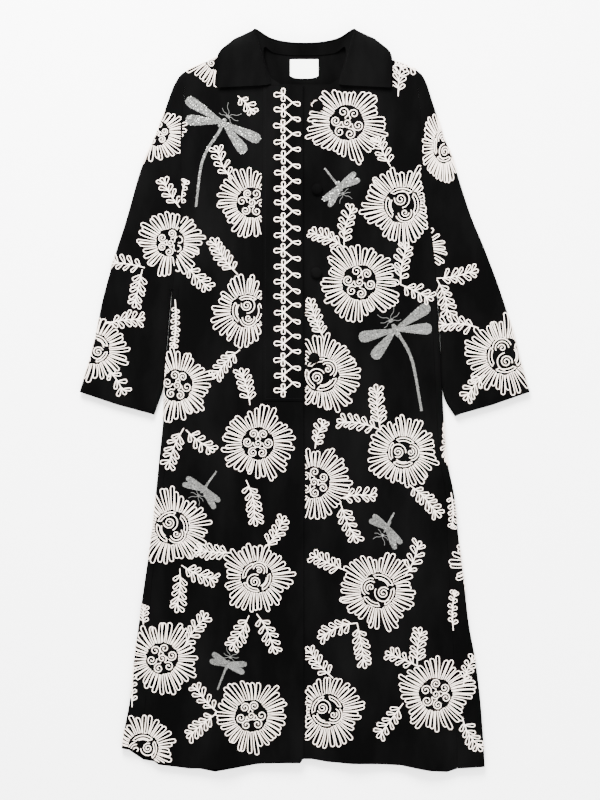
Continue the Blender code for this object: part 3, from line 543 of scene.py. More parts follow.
def skin(points, height, offset, from_top=True):
    """Points of a height function, moved out along its normal."""
    x, y = points[:, 0], points[:, 1]
    slope_x = (height(x + SLOPE_STEP, y) - height(x - SLOPE_STEP, y)) / (2 * SLOPE_STEP)
    slope_y = (height(x, y + SLOPE_STEP) - height(x, y - SLOPE_STEP)) / (2 * SLOPE_STEP)
    outward = np.stack([-slope_x, -slope_y, np.ones(len(x))], 1)
    outward /= np.linalg.norm(outward, axis=1)[:, None]
    if not from_top:
        outward = -outward
    return np.stack([x, y, height(x, y)], 1) + outward * np.reshape(offset, (-1, 1))


def between(a, b, c, d, t):
    """Place on the smooth line through four points, a share of the way from the second."""
    return 0.5 * (2 * b + (c - a) * t + (2 * a - 5 * b + 4 * c - d) * t ** 2
                  + (3 * b - a - 3 * c + d) * t ** 3)


def spline(points, step):
    """Smooth line through points, with the place of each new point in the old list."""
    points = np.array(points, float)
    ends = [2 * points[0] - points[1], 2 * points[-1] - points[-2]]
    padded = np.concatenate([ends[:1], points, ends[1:]])
    line, share = [], []
    for i in range(len(points) - 1):
        a, b, c, d = padded[i:i + 4]
        count = max(1, int(round(np.linalg.norm(c - b) / step)))
        t = (np.arange(count) / count)[:, None]
        line.append(between(a, b, c, d, t))
        share.append(i + t[:, 0])
    line.append(points[-1:])
    share.append(np.array([len(points) - 1.0]))
    return np.concatenate(line), np.concatenate(share)


class Roll:
    """An edge of the outline where the cloth rolls from the top to the underside."""

    def __init__(self, points, turn, level_start=False):
        coarse = np.array(points, float)
        along = np.gradient(coarse, axis=0)
        normals = np.stack([-along[:, 1], along[:, 0]], 1) * turn
        normals /= np.linalg.norm(normals, axis=1)[:, None]
        if level_start:
            normals[0] = (np.sign(normals[0, 0]), 0)
        line, self.share = spline(coarse, ROLL_STEP)
        stations = np.arange(len(coarse))
        self.normals = np.stack([np.interp(self.share, stations, normals[:, k]) for k in (0, 1)], 1)
        self.normals /= np.linalg.norm(self.normals, axis=1)[:, None]
        self.starts = line - self.normals * ROLL_WIDTH

    def locate(self, points):
        """Distance past the start of the roll, with the nearest start point and direction."""
        ends = [2 * self.starts[0] - self.starts[END_SPAN],
                2 * self.starts[-1] - self.starts[-1 - END_SPAN]]
        a = np.concatenate([ends[:1], self.starts])
        b = np.concatenate([self.starts, ends[1:]])
        ways = np.concatenate([self.normals[:1], self.normals, self.normals[-1:]])
        side = b - a
        rel = points[:, None] - a[None]
        t = np.clip((rel * side).sum(-1) / (side ** 2).sum(-1), 0, 1)
        gap = np.linalg.norm(rel - t[..., None] * side, axis=-1)
        k = gap.argmin(1)
        rows = np.arange(len(points))
        part = t[rows, k][:, None]
        foot = a[k] + part * side[k]
        way = ways[k] * (1 - part) + ways[k + 1] * part
        way /= np.linalg.norm(way, axis=1)[:, None]
        outside = ((points - foot) * way).sum(1) > 0
        return np.where(outside, gap[rows, k], -gap[rows, k]), foot, way


def rolled(foot, way, past, height, offset, from_top=True):
    """Points a distance past the start of a roll, moved out by an offset."""
    upper = height(foot[:, 0], foot[:, 1])
    lower = underside(foot[:, 0], foot[:, 1])
    half = (upper - lower) / 2
    turn = 1 if from_top else -1
    angle = math.pi / 2 * (1 - np.clip(past, 0, 2 * ROLL_QUARTER) / ROLL_QUARTER) * turn
    out = foot + way * (ROLL_WIDTH * np.cos(angle))[:, None]
    spot = np.column_stack([out, lower + half + half * np.sin(angle)])
    lean = np.column_stack([way * (np.cos(angle) / ROLL_WIDTH)[:, None], np.sin(angle) / half])
    lean /= np.linalg.norm(lean, axis=1)[:, None]
    spot = spot + lean * np.reshape(offset, (-1, 1))
    beyond = past > 2 * ROLL_QUARTER
    if beyond.any():
        back = foot - way * (past - 2 * ROLL_QUARTER)[:, None]
        far = skin(back, underside if from_top else height, offset, not from_top)
        spot = np.where(beyond[:, None], far, spot)
    return spot


SHOULDER_ROLL = {s: Roll(OUTER_EDGE[s], s) for s in (-1, 1)}
INNER_ROLL = {s: Roll(INNER_EDGE[s], -s, True) for s in (-1, 1)}
SIDE_ROLL = {
    s: Roll([(row[1 if s < 0 else 2], row[0]) for row in BODY_SIDES] + [HEM_CORNER[s][:2]], s, True)
    for s in (-1, 1)
}
SIDE_INSETS = {s: [row[3 if s < 0 else 4] for row in BODY_SIDES] + [HEM_CORNER[s][2]] for s in (-1, 1)}


class Strip:
    """Part of a roll that belongs to one panel, with how far each column of it runs."""

    def __init__(self, roll, first, last, ends, reverse=False):
        keep = (roll.share >= first - 1e-6) & (roll.share <= last + 1e-6)
        self.starts = roll.starts[keep]
        self.normals = roll.normals[keep]
        stations = np.linspace(first, last, len(ends))
        self.ends = np.interp(roll.share[keep], stations, ends)
        if reverse:
            self.starts, self.normals, self.ends = self.starts[::-1], self.normals[::-1], self.ends[::-1]


def inside(polygon, points):
    """Which points lie in a polygon."""
    polygon, points = np.asarray(polygon, float), np.asarray(points, float)
    x, y = points[:, 0][:, None], points[:, 1][:, None]
    a, b = polygon, np.roll(polygon, 1, axis=0)
    crossing = (a[:, 1] > y) != (b[:, 1] > y)
    rise = np.where(b[:, 1] == a[:, 1], 1e-9, b[:, 1] - a[:, 1])
    hits = crossing & (x < (b[:, 0] - a[:, 0]) * (y - a[:, 1]) / rise + a[:, 0])
    return hits.sum(1) % 2 == 1


def clearance(starts, ends, points):
    """Distance from each point to the nearest of some straight pieces."""
    best = np.full(len(points), 1e9)
    for a, b in zip(starts, ends):
        side = b - a
        t = np.clip(((points - a) @ side) / max(side @ side, 1e-12), 0, 1)
        best = np.minimum(best, np.linalg.norm(points - a - t[:, None] * side, axis=1))
    return best


def from_border(outline, points):
    """Distance from each point to a closed outline."""
    return clearance(outline, np.roll(outline, -1, axis=0), points)


def triangulated(outline, inner):
    """Triangles that fill an outline through the points inside it."""
    coords = [Vector(p) for p in np.concatenate([outline, inner])]
    edges = [(i, (i + 1) % len(outline)) for i in range(len(outline))]
    return delaunay_2d_cdt(coords, edges, [], 1, 0.001)


def grid_faces(rows, columns):
    """Faces of a grid of points that are listed row by row."""
    return [(j * columns + i, j * columns + i + 1, (j + 1) * columns + i + 1, (j + 1) * columns + i)
            for j in range(rows - 1) for i in range(columns - 1)]


def dense(points, step):
    """A line with points no further apart than a step."""
    out = [np.array(points[0], float)]
    for p in points[1:]:
        p = np.array(p, float)
        count = max(1, math.ceil(np.linalg.norm(p - out[-1]) / step))
        first = out[-1]
        out += [first + (p - first) * k / count for k in range(1, count + 1)]
    return out


def new_object(name, vertices, faces=(), edges=()):
    data = bpy.data.meshes.new(name)
    data.from_pydata([tuple(v) for v in np.asarray(vertices, float) * MM], list(edges), list(faces))
    shape = bpy.data.objects.new(name, data)
    bpy.context.scene.collection.objects.link(shape)
    return shape


def settle(shape):
    """Turns an object's evaluated form into a plain mesh and removes its modifiers."""
    bpy.context.view_layer.update()
    data = bpy.data.meshes.new_from_object(shape.evaluated_get(bpy.context.evaluated_depsgraph_get()))
    shape.modifiers.clear()
    old = shape.data
    shape.data = data
    bpy.data.meshes.remove(old)
    data.name = shape.name
    return shape


def face_outwards(shape, expected):
    """Turns a sheet so that the faces at some points look the expected way."""
    mesh = bmesh.new()
    mesh.from_mesh(shape.data)
    bmesh.ops.recalc_face_normals(mesh, faces=mesh.faces[:])
    mesh.normal_update()
    agree = sum(face.normal.dot(expected(face.calc_center_median())) for face in mesh.faces)
    if agree < 0:
        bmesh.ops.reverse_faces(mesh, faces=mesh.faces[:])
    mesh.to_mesh(shape.data)
    mesh.free()


def give_wall(shape, thickness, offset=-1.0, angle=50):
    solid = shape.modifiers.new("wall", "SOLIDIFY")
    solid.thickness = thickness
    solid.offset = offset
    settle(shape)
    shape.data.shade_smooth()
    shape.data.set_sharp_from_angle(angle=math.radians(angle))


def same_place(a, b):
    return np.linalg.norm(a - b) < SAME_POINT


def traced(parts, step):
    """A panel's outline, with where its strips and its seams start in it."""
    outline, strips, seams = [], [], []
    for part in parts:
        if isinstance(part, Strip):
            if outline and same_place(outline[-1], part.starts[0]):
                outline.pop()
            strips.append((part, len(outline)))
            outline += list(part.starts)
        else:
            line = dense(part, step)
            if outline and same_place(outline[-1], line[0]):
                line = line[1:]
            seams.append((len(outline), len(outline) + len(line) - 1))
            outline += line
    if same_place(outline[-1], outline[0]):
        outline.pop()
    return np.array(outline), strips, seams


def lattice_inside(outline, step):
    """Points inside an outline, in rows of which every second one is set off."""
    low, high = outline.min(0), outline.max(0)
    rows = []
    for k, y in enumerate(np.arange(low[1], high[1], step * ROW_SHARE)):
        xs = np.arange(low[0] + (k % 2) * step / 2, high[0], step)
        rows.append(np.column_stack([xs, np.full(len(xs), y)]))
    lattice = np.concatenate(rows)
    lattice = lattice[inside(outline, lattice)]
    return lattice[from_border(outline, lattice) > BORDER_SHARE * step]


def over_roll(strip, previous, spots, faces, height, from_top):
    """Carries a panel on over its roll, from the points where the roll starts."""
    levels = max(FEWEST_LEVELS, math.ceil(strip.ends.max() / LEVEL_STEP))
    for level in range(1, levels + 1):
        past = strip.ends * level / levels
        sunk = np.where(strip.ends - past < SEAM_DIP_REACH,
                        SEAM_DIP * (1 - (strip.ends - past) / SEAM_DIP_REACH) ** 2, 0)
        ring = rolled(strip.starts, strip.normals, past, height, -sunk, from_top)
        here = list(range(len(spots), len(spots) + len(ring)))
        spots = np.concatenate([spots, ring])
        faces += [(previous[i], previous[i + 1], here[i + 1], here[i]) for i in range(len(ring) - 1)]
        previous = here
    return spots


def cloth(name, parts, height, from_top, material):
    """A velvet panel: a flat part triangulated inside its outline and strips over its rolls."""
    step = bpy.context.scene.coat_sizes.cloth_step / MM
    outline, strips, seams = traced(parts, step)
    seam_points = [i for a, b in seams for i in range(a, min(b, len(outline) - 1))]
    found = triangulated(outline, lattice_inside(outline, step))
    flat = np.array([tuple(p) for p in found[0]])
    origin = {old: new for new, olds in enumerate(found[3]) for old in olds}
    faces = [tuple(face) for face in found[2]]
    off_seam = clearance([outline[i] for i in seam_points], [outline[i + 1] for i in seam_points], flat)
    dip = SEAM_DIP * (1 - np.clip(off_seam / SEAM_DIP_REACH, 0, 1)) ** 2
    spots = skin(flat, height if from_top else underside, -dip, from_top)
    for strip, first in strips:
        edge = [origin[first + i] for i in range(len(strip.starts))]
        spots = over_roll(strip, edge, spots, faces, height, from_top)
    shape = new_object(name, spots, faces)
    side = 1 if from_top else -1
    face_outwards(shape, lambda p: Vector((0, 0, side)))
    give_wall(shape, bpy.context.scene.coat_sizes.wall)
    shape.data.materials.clear()
    shape.data.materials.append(material)
    return shape


def seat(shape, replaced=()):
    """Puts a finished piece under the root body and hides the parts of the model that it replaces."""
    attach(shape, ROOT)
    if replaced:
        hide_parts(*replaced)


def shoulder_strip(side, reverse=False):
    return Strip(SHOULDER_ROLL[side], 0, SHOULDER, [ROLL_QUARTER - HALF_GAP] * 2, reverse)


def arm_line(side, gap):
    return [(x + side * gap, y) for x, y in ARMHOLE[side]]


def front_parts(side):
    roll = SIDE_ROLL[side]
    insets = np.interp(roll.share, np.arange(len(SIDE_INSETS[side])), SIDE_INSETS[side])
    seam = roll.starts + roll.normals * (ROLL_WIDTH - insets - HALF_GAP)[:, None]
    edge = FRONT_EDGE_X if side < 0 else UNDERLAP_X
    front = [(edge, FRONT_TOP_Y), (edge, -600)]
    return [list(seam[::-1]), arm_line(side, -HALF_GAP)[::-1], shoulder_strip(side, True),
            FRONT_NECK[side] + front + FRONT_HEM[side]]


def back_parts():
    parts = []
    for side in (-1, 1):
        ends = [2 * ROLL_QUARTER + inset - ROLL_WIDTH - HALF_GAP for inset in SIDE_INSETS[side]]
        wrap = Strip(SIDE_ROLL[side], 0, len(ends) - 1, ends, side < 0)
        arm = arm_line(side, UNDER_ARM - HALF_GAP)
        if side < 0:
            parts += [wrap, arm[::-1], shoulder_strip(side, True), BACK_NECK]
        else:
            parts += [shoulder_strip(side), arm, wrap, BACK_HEM[::-1]]
    return parts


def sleeve_parts(side):
    outer, inner = SHOULDER_ROLL[side], INNER_ROLL[side]
    last = len(OUTER_EDGE[side]) - 1
    full = 2 * ROLL_QUARTER + UNDER_INSET - ROLL_WIDTH - HALF_GAP
    ends = [ROLL_QUARTER - HALF_GAP, 1.3 * ROLL_QUARTER, 2 * ROLL_QUARTER]
    ends += [full] * (last - SHOULDER - 2)
    outside = Strip(outer, SHOULDER, last, ends)
    inside_edge = Strip(inner, 0, len(INNER_EDGE[side]) - 1, [full, full], True)
    a, b = outside.starts[-1], inside_edge.starts[0]
    cuff = [a, a + (b - a) * 0.5 - np.array([0, 2.0]), b]
    return [outside, cuff, inside_edge, arm_line(side, HALF_GAP)[::-1]]


def under_sleeve_parts(side):
    outer, inner = SHOULDER_ROLL[side], INNER_ROLL[side]
    far = outer.share >= SHOULDER + 3
    inset = ROLL_WIDTH - UNDER_INSET - HALF_GAP
    line = list(outer.starts[far] + outer.normals[far] * inset)
    line += list((inner.starts + inner.normals * inset)[::-1])
    return [line + arm_line(side, UNDER_ARM + HALF_GAP)[::-1][1:] + [line[0]]]


def top_region(side):
    """Part of the flat cut on which one side's motifs of the body may lie."""
    roll = SIDE_ROLL[side]
    outward = roll.starts + roll.normals * 2 * ROLL_QUARTER
    hem = [(x, y + HEM_ROOM) for x, y in FRONT_HEM[side]]
    if side < 0:
        edge_x = FRONT_EDGE_X - EDGE_ROOM
        hem[0] = (edge_x, hem[0][1])
        low_y = BAND[2] - EDGE_ROOM
        band = [(BAND[0] - BAND_ROOM, FRONT_TOP_ROOM_Y), (BAND[0] - BAND_ROOM, low_y), (edge_x, low_y)]
    else:
        hem = [(LEFT_EDGE_X, LEFT_HEM_Y)] + hem[2:]
        band = [(LEFT_EDGE_X, FRONT_TOP_ROOM_Y)]
    far_corner = roll.starts[-1] + (0, 6)
    shoulder = SHOULDER_ROLL[side]
    near = shoulder.share <= SHOULDER
    over = (shoulder.starts + shoulder.normals * (2 * ROLL_QUARTER))[near]
    neck = [(side * x, y) for x, y in NECK_BORDER]
    return np.array(hem + [far_corner] + list(outward[::-1]) + arm_line(side, -SEAM_ROOM)[::-1]
                    + list(over[::-1]) + neck + band)


def sleeve_region(side):
    """Part of the flat cut on which one sleeve's motifs may lie."""
    outer, inner = SHOULDER_ROLL[side], INNER_ROLL[side]
    far = outer.share >= SHOULDER
    line = list((outer.starts + outer.normals * 2 * ROLL_QUARTER)[far])
    line[-1] = line[-1] + (0, HEM_ROOM)
    back = list((inner.starts + inner.normals * 2 * ROLL_QUARTER)[::-1])
    back[0] = back[0] + (0, HEM_ROOM)
    return np.array(line + back + arm_line(side, SEAM_ROOM)[::-1])


def on_top(side, points, offset, lapped=False, sleeve=False):
    """Points of the flat cut laid on the coat's front and round its rolled edges."""
    height = lapped_height if lapped else top_height
    spots = skin(points, height, offset)
    rolls = [(SHOULDER_ROLL[side], points[:, 1] > (SLEEVE_ROLL_Y if sleeve else BODY_ROLL_Y)),
             (INNER_ROLL[side] if sleeve else SIDE_ROLL[side], points[:, 1] < ARMPIT_Y)]
    for roll, near in rolls:
        past, foot, way = roll.locate(points)
        over = near & (past > 0)
        if over.any():
            lift = np.broadcast_to(offset, (len(points),))[over]
            spots[over] = rolled(foot[over], way[over], past[over], height, lift)
    return spots


def clipped(line, region):
    """Pieces of a line that lie in a region, cut where they cross its border."""
    line = np.asarray(line, float)
    within = inside(region, line)
    if within.all():
        return [line]
    pieces, piece = [], []
    for i, point in enumerate(line):
        if i and within[i] != within[i - 1]:
            a, b = (line[i - 1], point) if within[i - 1] else (point, line[i - 1])
            for _ in range(CUT_HALVINGS):
                middle = (a + b) / 2
                if inside(region, [middle])[0]:
                    a = middle
                else:
                    b = middle
            piece.append(a)
            if not within[i]:
                pieces.append(piece)
                piece = []
        if within[i]:
            piece.append(point)
    pieces.append(piece)
    pieces = [np.array(p) for p in pieces if len(p) > 1]
    return [p for p in pieces if np.linalg.norm(np.diff(p, axis=0), axis=1).sum() > SHORT_END]


def refined(line, step):
    return np.array(dense(list(line), step))


def turned(points, x, y, angle, squeeze=1.0):
    """Points turned about the origin and moved to a place on the cloth."""
    c, s = math.cos(angle), math.sin(angle)
    return [(x + (px * c - py * s) * squeeze, y + px * s + py * c) for px, py in points]


def petal(reach, core, base, tip, lean):
    """One looped petal, out and back, pointing along X."""
    long = reach - core
    half = [(share, base + swell * (tip - base)) for share, swell in PETAL_SWELL]
    half += [(1 - tip / long, tip), (1 - PETAL_END[0] * tip / long, PETAL_END[1] * tip)]
    path = [(s, -w) for s, w in half] + [(1.0, 0.0)] + [(s, w) for s, w in reversed(half)]
    return [(core + s * long, w + lean * s * s * long) for s, w in path]


def spiral(x, y, reach, turns, start, way):
    count = int(turns * SPIRAL_POINTS)
    path = []
    for k in range(count + 1):
        share = k / count
        angle = start + way * 2 * math.pi * turns * share
        r = reach * (1 - SPIRAL_CLOSE * share)
        path.append((x + r * math.cos(angle), y + r * math.sin(angle)))
    return path


def arc(x, y, r, start, end, count):
    angles = [start + (end - start) * k / count for k in range(count + 1)]
    return [(x + r * math.cos(a), y + r * math.sin(a)) for a in angles]


def rose_core(size, turn, rng):
    """A swirled rose: two coils beside the middle with folded petals round them."""
    lines = [spiral(*row) for row in ROSE_COILS]
    lines += [arc(*row, 9) for row in ROSE_FOLDS]
    for x, y, reach, width, first, last in ROSE_PETALS:
        first, last = first + rng.uniform(-0.15, 0.15), last + rng.uniform(-0.15, 0.15)
        outer = arc(x, y, reach, first, last, 9)
        inner = arc(x, y, reach - width, last - 0.12, first + 0.12, 7)
        lines.append(outer + inner + [outer[0]])
    lines = [[(px * size, py * size) for px, py in line] for line in lines]
    return [turned(line, 0, 0, turn) for line in lines]


def spiral_core(size, turn, rng):
    """Small spirals round one, joined to the middle."""
    lines = [spiral(0, 0, MIDDLE_SPIRAL * size, 1.5, turn, 1)]
    for k in range(RING_COUNT):
        angle = turn + 2 * math.pi * (k + 0.13 * rng.uniform(-1, 1)) / RING_COUNT
        x, y = RING_AT * size * math.cos(angle), RING_AT * size * math.sin(angle)
        reach = RING_SPIRAL * size * rng.uniform(0.92, 1.05)
        coil = spiral(x, y, reach, rng.uniform(1.4, 1.8), angle + math.pi, 1 if k % 2 else -1)
        lines.append([(RING_ROOT * size * math.cos(angle), RING_ROOT * size * math.sin(angle))] + coil)
    return lines


def fitted(region, x, y, way, reach, core):
    """How far a petal reaches before it comes to the border of its panel."""
    while reach > core + SHORTEST_PETAL:
        if inside(region, [(x + reach * way[0], y + reach * way[1])])[0]:
            break
        reach -= FIT_STEP
    return reach


def flower(x, y, radius, rose, squeeze, rng, region=None):
    """All the cord of one flower, as lines on the flat cloth."""
    core = radius * (ROSE_SHARE if rose else RING_SHARE)
    count = int(round(radius * PETALS_A_MM))
    if region is not None:
        middle = np.array([(x, y)])
        deep = inside(region, middle)[0] and from_border(region, middle)[0] > FIT_FROM
        region = region if deep else None
    turn = rng.uniform(0, 2 * math.pi)
    phases = [rng.uniform(0, 2 * math.pi) for _ in range(3)]
    ring = []
    for k in range(count):
        angle = turn + 2 * math.pi * (k + rng.uniform(-PETAL_STRAY, PETAL_STRAY)) / count
        wave = 0.55 * math.cos(5 * angle + phases[0]) + 0.45 * math.cos(3 * angle + phases[1])
        reach = radius * (PETAL_REACH + REACH_WAVE * wave + rng.uniform(-REACH_STRAY, REACH_STRAY))
        if region is not None:
            way = (math.cos(angle) * squeeze, math.sin(angle))
            reach = fitted(region, x, y, way, reach, core)
        tip = rng.uniform(*PETAL_TIP) * min(1.0, radius / FULL_TIP_RADIUS)
        base = min(WIDEST_BASE, math.pi * core / count * 0.5)
        lean = rng.uniform(-PETAL_LEAN, PETAL_LEAN) + PETAL_SWAY * math.cos(2 * angle + phases[2])
        ring += turned(petal(reach, core * rng.uniform(0.94, 1.04), base, tip, lean), 0, 0, angle)
    ring.append(ring[0])
    fill = rose_core(core - ROSE_GAP, turn, rng) if rose else spiral_core(core - RING_GAP, turn, rng)
    return [turned(line, x, y, 0, squeeze) for line in [ring] + fill]


def sprig(x0, y0, x1, y1, width, rng):
    """A leaf sprig: a stem with pairs of loops and one at its tip."""
    along = math.hypot(x1 - x0, y1 - y0)
    angle = math.atan2(y1 - y0, x1 - x0)
    bend = rng.uniform(-STEM_BEND, STEM_BEND) * along
    pairs = max(3, int(round(along / PAIR_SPACING)))
    lines = [[(along * s, bend * math.sin(math.pi * s)) for s in STEM_POINTS]]
    for k in range(pairs):
        share = FIRST_PAIR + 0.70 * k / (pairs - 1)
        root = (along * share, bend * math.sin(math.pi * share))
        taper = 1.0 - 0.30 * abs(share - 0.5)
        for side in (-1, 1):
            long = LEAF[0] * taper * width * rng.uniform(0.85, 1.1)
            tilt = side * math.radians(rng.uniform(*LEAF_ANGLE))
            half = LEAF[1] * rng.uniform(0.85, 1.12)
            loop = petal(long, 0.0, 0.3, half, 0.0)
            shift = 0.4 * (side > 0) * along * 0.7 / pairs
            lines.append(turned(loop, root[0] + shift, root[1], tilt))
    least, share, half = LAST_LEAF
    loop = petal(max(least, share * along) * width, 0.0, 0.4, half, 0.0)
    lines.append(turned(loop, along * LAST_LEAF_AT, bend * math.sin(math.pi * LAST_LEAF_AT), 0))
    return [turned(line, x0, y0, angle) for line in lines]


def motif_lines(panel, region):
    """All the cord lines of one panel's flowers and sprigs."""
    rng = random.Random(SEED + sum(map(ord, panel)))
    lines = []
    for row in FLOWERS[panel]:
        lines += flower(*row, rng, region)
    for row in SPRIGS[panel]:
        lines += sprig(*row, rng)
    return lines


def add_node(tree, kind, inputs=None, **settings):
    """Adds a node with its settings; an input is a value or the socket that feeds it."""
    made = tree.nodes.new(kind)
    for name, value in settings.items():
        setattr(made, name, value)
    for name, value in (inputs or {}).items():
        if isinstance(value, bpy.types.NodeSocket):
            tree.links.new(value, made.inputs[name])
        else:
            made.inputs[name].default_value = value
    return made


def new_tree(name, inputs):
    tree = bpy.data.node_groups.new(name, "GeometryNodeTree")
    tree.interface.new_socket("Geometry", in_out="INPUT", socket_type="NodeSocketGeometry")
    for label, kind in inputs:
        tree.interface.new_socket(label, in_out="INPUT", socket_type="NodeSocket" + kind)
    tree.interface.new_socket("Geometry", in_out="OUTPUT", socket_type="NodeSocketGeometry")
    return tree, add_node(tree, "NodeGroupInput").outputs


def finish_tree(tree, geometry, material):
    real = add_node(tree, "GeometryNodeRealizeInstances", {"Geometry": geometry})
    painted = add_node(tree, "GeometryNodeSetMaterial", {"Geometry": real.outputs[0], "Material": material})
    add_node(tree, "NodeGroupOutput", {"Geometry": painted.outputs[0]})
    return tree


def cord_tree():
    """Cord along every line of a mesh, marked with how far along and round it each point is."""
    tree, given = new_tree("Couched Cord", [("Width", "Float"), ("Sides", "Int"), ("Material", "Material")])
    curve = add_node(tree, "GeometryNodeMeshToCurve", {"Mesh": given["Geometry"]})
    run = add_node(tree, "GeometryNodeSplineParameter")
    marked = add_node(tree, "GeometryNodeStoreNamedAttribute",
                      {"Geometry": curve.outputs[0], "Name": "along", "Value": run.outputs["Length"]},
                      data_type="FLOAT", domain="POINT")
    half = add_node(tree, "ShaderNodeMath", {0: given["Width"], 1: 0.5}, operation="MULTIPLY")
    ring = add_node(tree, "GeometryNodeCurvePrimitiveCircle",
                    {"Resolution": given["Sides"], "Radius": half.outputs[0]})
    turn = add_node(tree, "GeometryNodeSplineParameter")
    wound = add_node(tree, "GeometryNodeStoreNamedAttribute",
                     {"Geometry": ring.outputs[0], "Name": "around", "Value": turn.outputs["Factor"]},
                     data_type="FLOAT", domain="POINT")
    tube = add_node(tree, "GeometryNodeCurveToMesh",
                    {"Curve": marked.outputs[0], "Profile Curve": wound.outputs[0], "Fill Caps": True})
    soft = add_node(tree, "GeometryNodeSetShadeSmooth", {"Geometry": tube.outputs[0]})
    return finish_tree(tree, soft.outputs[0], given["Material"])


def sequin_tree():
    """Sequins scattered over a sheet, no two closer than their width."""
    tree, given = new_tree("Sequins", [("Width", "Float"), ("Seed", "Int"), ("Material", "Material")])
    gap = add_node(tree, "ShaderNodeMath", {0: given["Width"], 1: 0.66}, operation="MULTIPLY")
    half = add_node(tree, "ShaderNodeMath", {0: given["Width"], 1: 0.5}, operation="MULTIPLY")
    dots = add_node(tree, "GeometryNodeDistributePointsOnFaces",
                    {"Mesh": given["Geometry"], "Distance Min": gap.outputs[0],
                     "Density Max": 700000.0, "Seed": given["Seed"]}, distribute_method="POISSON")
    disc = add_node(tree, "GeometryNodeMeshCylinder",
                    {"Vertices": 6, "Radius": half.outputs[0], "Depth": 0.0003})
    tilt = add_node(tree, "FunctionNodeRandomValue",
                    {"Min": (-0.30, -0.30, 0.0), "Max": (0.30, 0.30, 3.1), "Seed": given["Seed"]},
                    data_type="FLOAT_VECTOR")
    lean = add_node(tree, "FunctionNodeEulerToRotation", {0: tilt.outputs[0]})
    spun = add_node(tree, "FunctionNodeRotateRotation",
                    {"Rotation": dots.outputs["Rotation"], "Rotate By": lean.outputs[0]},
                    rotation_space="LOCAL")
    placed = add_node(tree, "GeometryNodeInstanceOnPoints",
                      {"Points": dots.outputs["Points"], "Instance": disc.outputs["Mesh"],
                       "Rotation": spun.outputs[0]})
    # A random value for each sequin, used for its painted glint and its roughness
    glint_and_gloss = add_node(tree, "FunctionNodeRandomValue", {"Seed": 3}, data_type="FLOAT")
    marked = add_node(tree, "GeometryNodeStoreNamedAttribute",
                      {"Geometry": placed.outputs[0], "Name": "glint_and_gloss", "Value": glint_and_gloss.outputs[1]},
                      data_type="FLOAT", domain="INSTANCE")
    return finish_tree(tree, marked.outputs[0], given["Material"])


def stitch_tree():
    """Short stitches spaced along every line of a mesh."""
    tree, given = new_tree("Topstitch", [("Length", "Float"), ("Thread", "Float"),
                                         ("Material", "Material")])
    curve = add_node(tree, "GeometryNodeMeshToCurve", {"Mesh": given["Geometry"]})
    pitch = add_node(tree, "ShaderNodeMath", {0: given["Length"], 1: 1.35}, operation="MULTIPLY")
    dots = add_node(tree, "GeometryNodeCurveToPoints",
                    {"Curve": curve.outputs[0], "Length": pitch.outputs[0]}, mode="LENGTH")
    rod = add_node(tree, "GeometryNodeMeshCylinder",
                   {"Vertices": 5, "Radius": given["Thread"], "Depth": given["Length"]})
    aim = add_node(tree, "FunctionNodeAlignRotationToVector", {"Vector": dots.outputs["Tangent"]}, axis="Z")
    placed = add_node(tree, "GeometryNodeInstanceOnPoints",
                      {"Points": dots.outputs["Points"], "Instance": rod.outputs["Mesh"],
                       "Rotation": aim.outputs[0]})
    return finish_tree(tree, placed.outputs[0], given["Material"])


def grow(shape, tree, values):
    """Runs a node tree on a piece and keeps the plain mesh that it makes."""
    modifier = shape.modifiers.new(tree.name, "NODES")
    modifier.node_group = tree
    for item in tree.interface.items_tree:
        if item.in_out == "INPUT" and item.name in values:
            modifier[item.identifier] = values[item.name]
    return settle(shape)


def lines_object(name, lines):
    """One mesh of loose lines, each a list of points in millimetres."""
    points, edges = [], []
    for line in lines:
        first = len(points)
        points += [tuple(p) for p in line]
        edges += [(first + i, first + i + 1) for i in range(len(line) - 1)]
    return new_object(name, points, edges=edges)


def cord_piece(name, lines, width, sides, material, replaced=()):
    shape = lines_object(name, lines)
    grow(shape, bpy.data.node_groups.get("Couched Cord") or cord_tree(),
         {"Width": width, "Sides": sides, "Material": material})
    seat(shape, replaced)
    return shape


def paint(name):
    """The named material, made once."""
    found = bpy.data.materials.get(name)
    return found if found else PAINTS[name](name)


def new_paint(name):
    material = bpy.data.materials.new(name)
    material.use_nodes = True
    tree = material.node_tree
    return material, tree, tree.nodes["Principled BSDF"]


def wire(tree, shader, base, roughness=None, bump=None, strength=0.3, distance=0.001):
    """Joins a colour, and where given a roughness and a relief, to the shader."""
    tree.links.new(base, shader.inputs["Base Color"])
    if roughness is not None:
        tree.links.new(roughness, shader.inputs["Roughness"])
    if bump is not None:
        relief = add_node(tree, "ShaderNodeBump",
                          {"Height": bump, "Strength": strength, "Distance": distance})
        tree.links.new(relief.outputs[0], shader.inputs["Normal"])


def on_object(tree):
    return add_node(tree, "ShaderNodeTexCoord").outputs["Object"]


def noise(tree, place, scale, more=None):
    inputs = {"Vector": place, "Scale": scale, **(more or {})}
    return add_node(tree, "ShaderNodeTexNoise", inputs).outputs[0]


def figure(tree, operation, *values, **settings):
    """The result of a sum on up to three values or sockets."""
    made = add_node(tree, "ShaderNodeMath", dict(enumerate(values)), operation=operation, **settings)
    return made.outputs[0]


def ranged(tree, value, before=(0.0, 1.0), after=(0.0, 1.0)):
    """A value carried from one range to another."""
    limits = {"From Min": before[0], "From Max": before[1], "To Min": after[0], "To Max": after[1]}
    return add_node(tree, "ShaderNodeMapRange", {"Value": value, **limits}).outputs[0]


def blend(tree, factor, first, second):
    """A colour between two linear ones."""
    tone = add_node(tree, "ShaderNodeMix", {"Factor": factor}, data_type="RGBA")
    tone.inputs[6].default_value = (*first, 1)
    tone.inputs[7].default_value = (*second, 1)
    return tone.outputs[2]


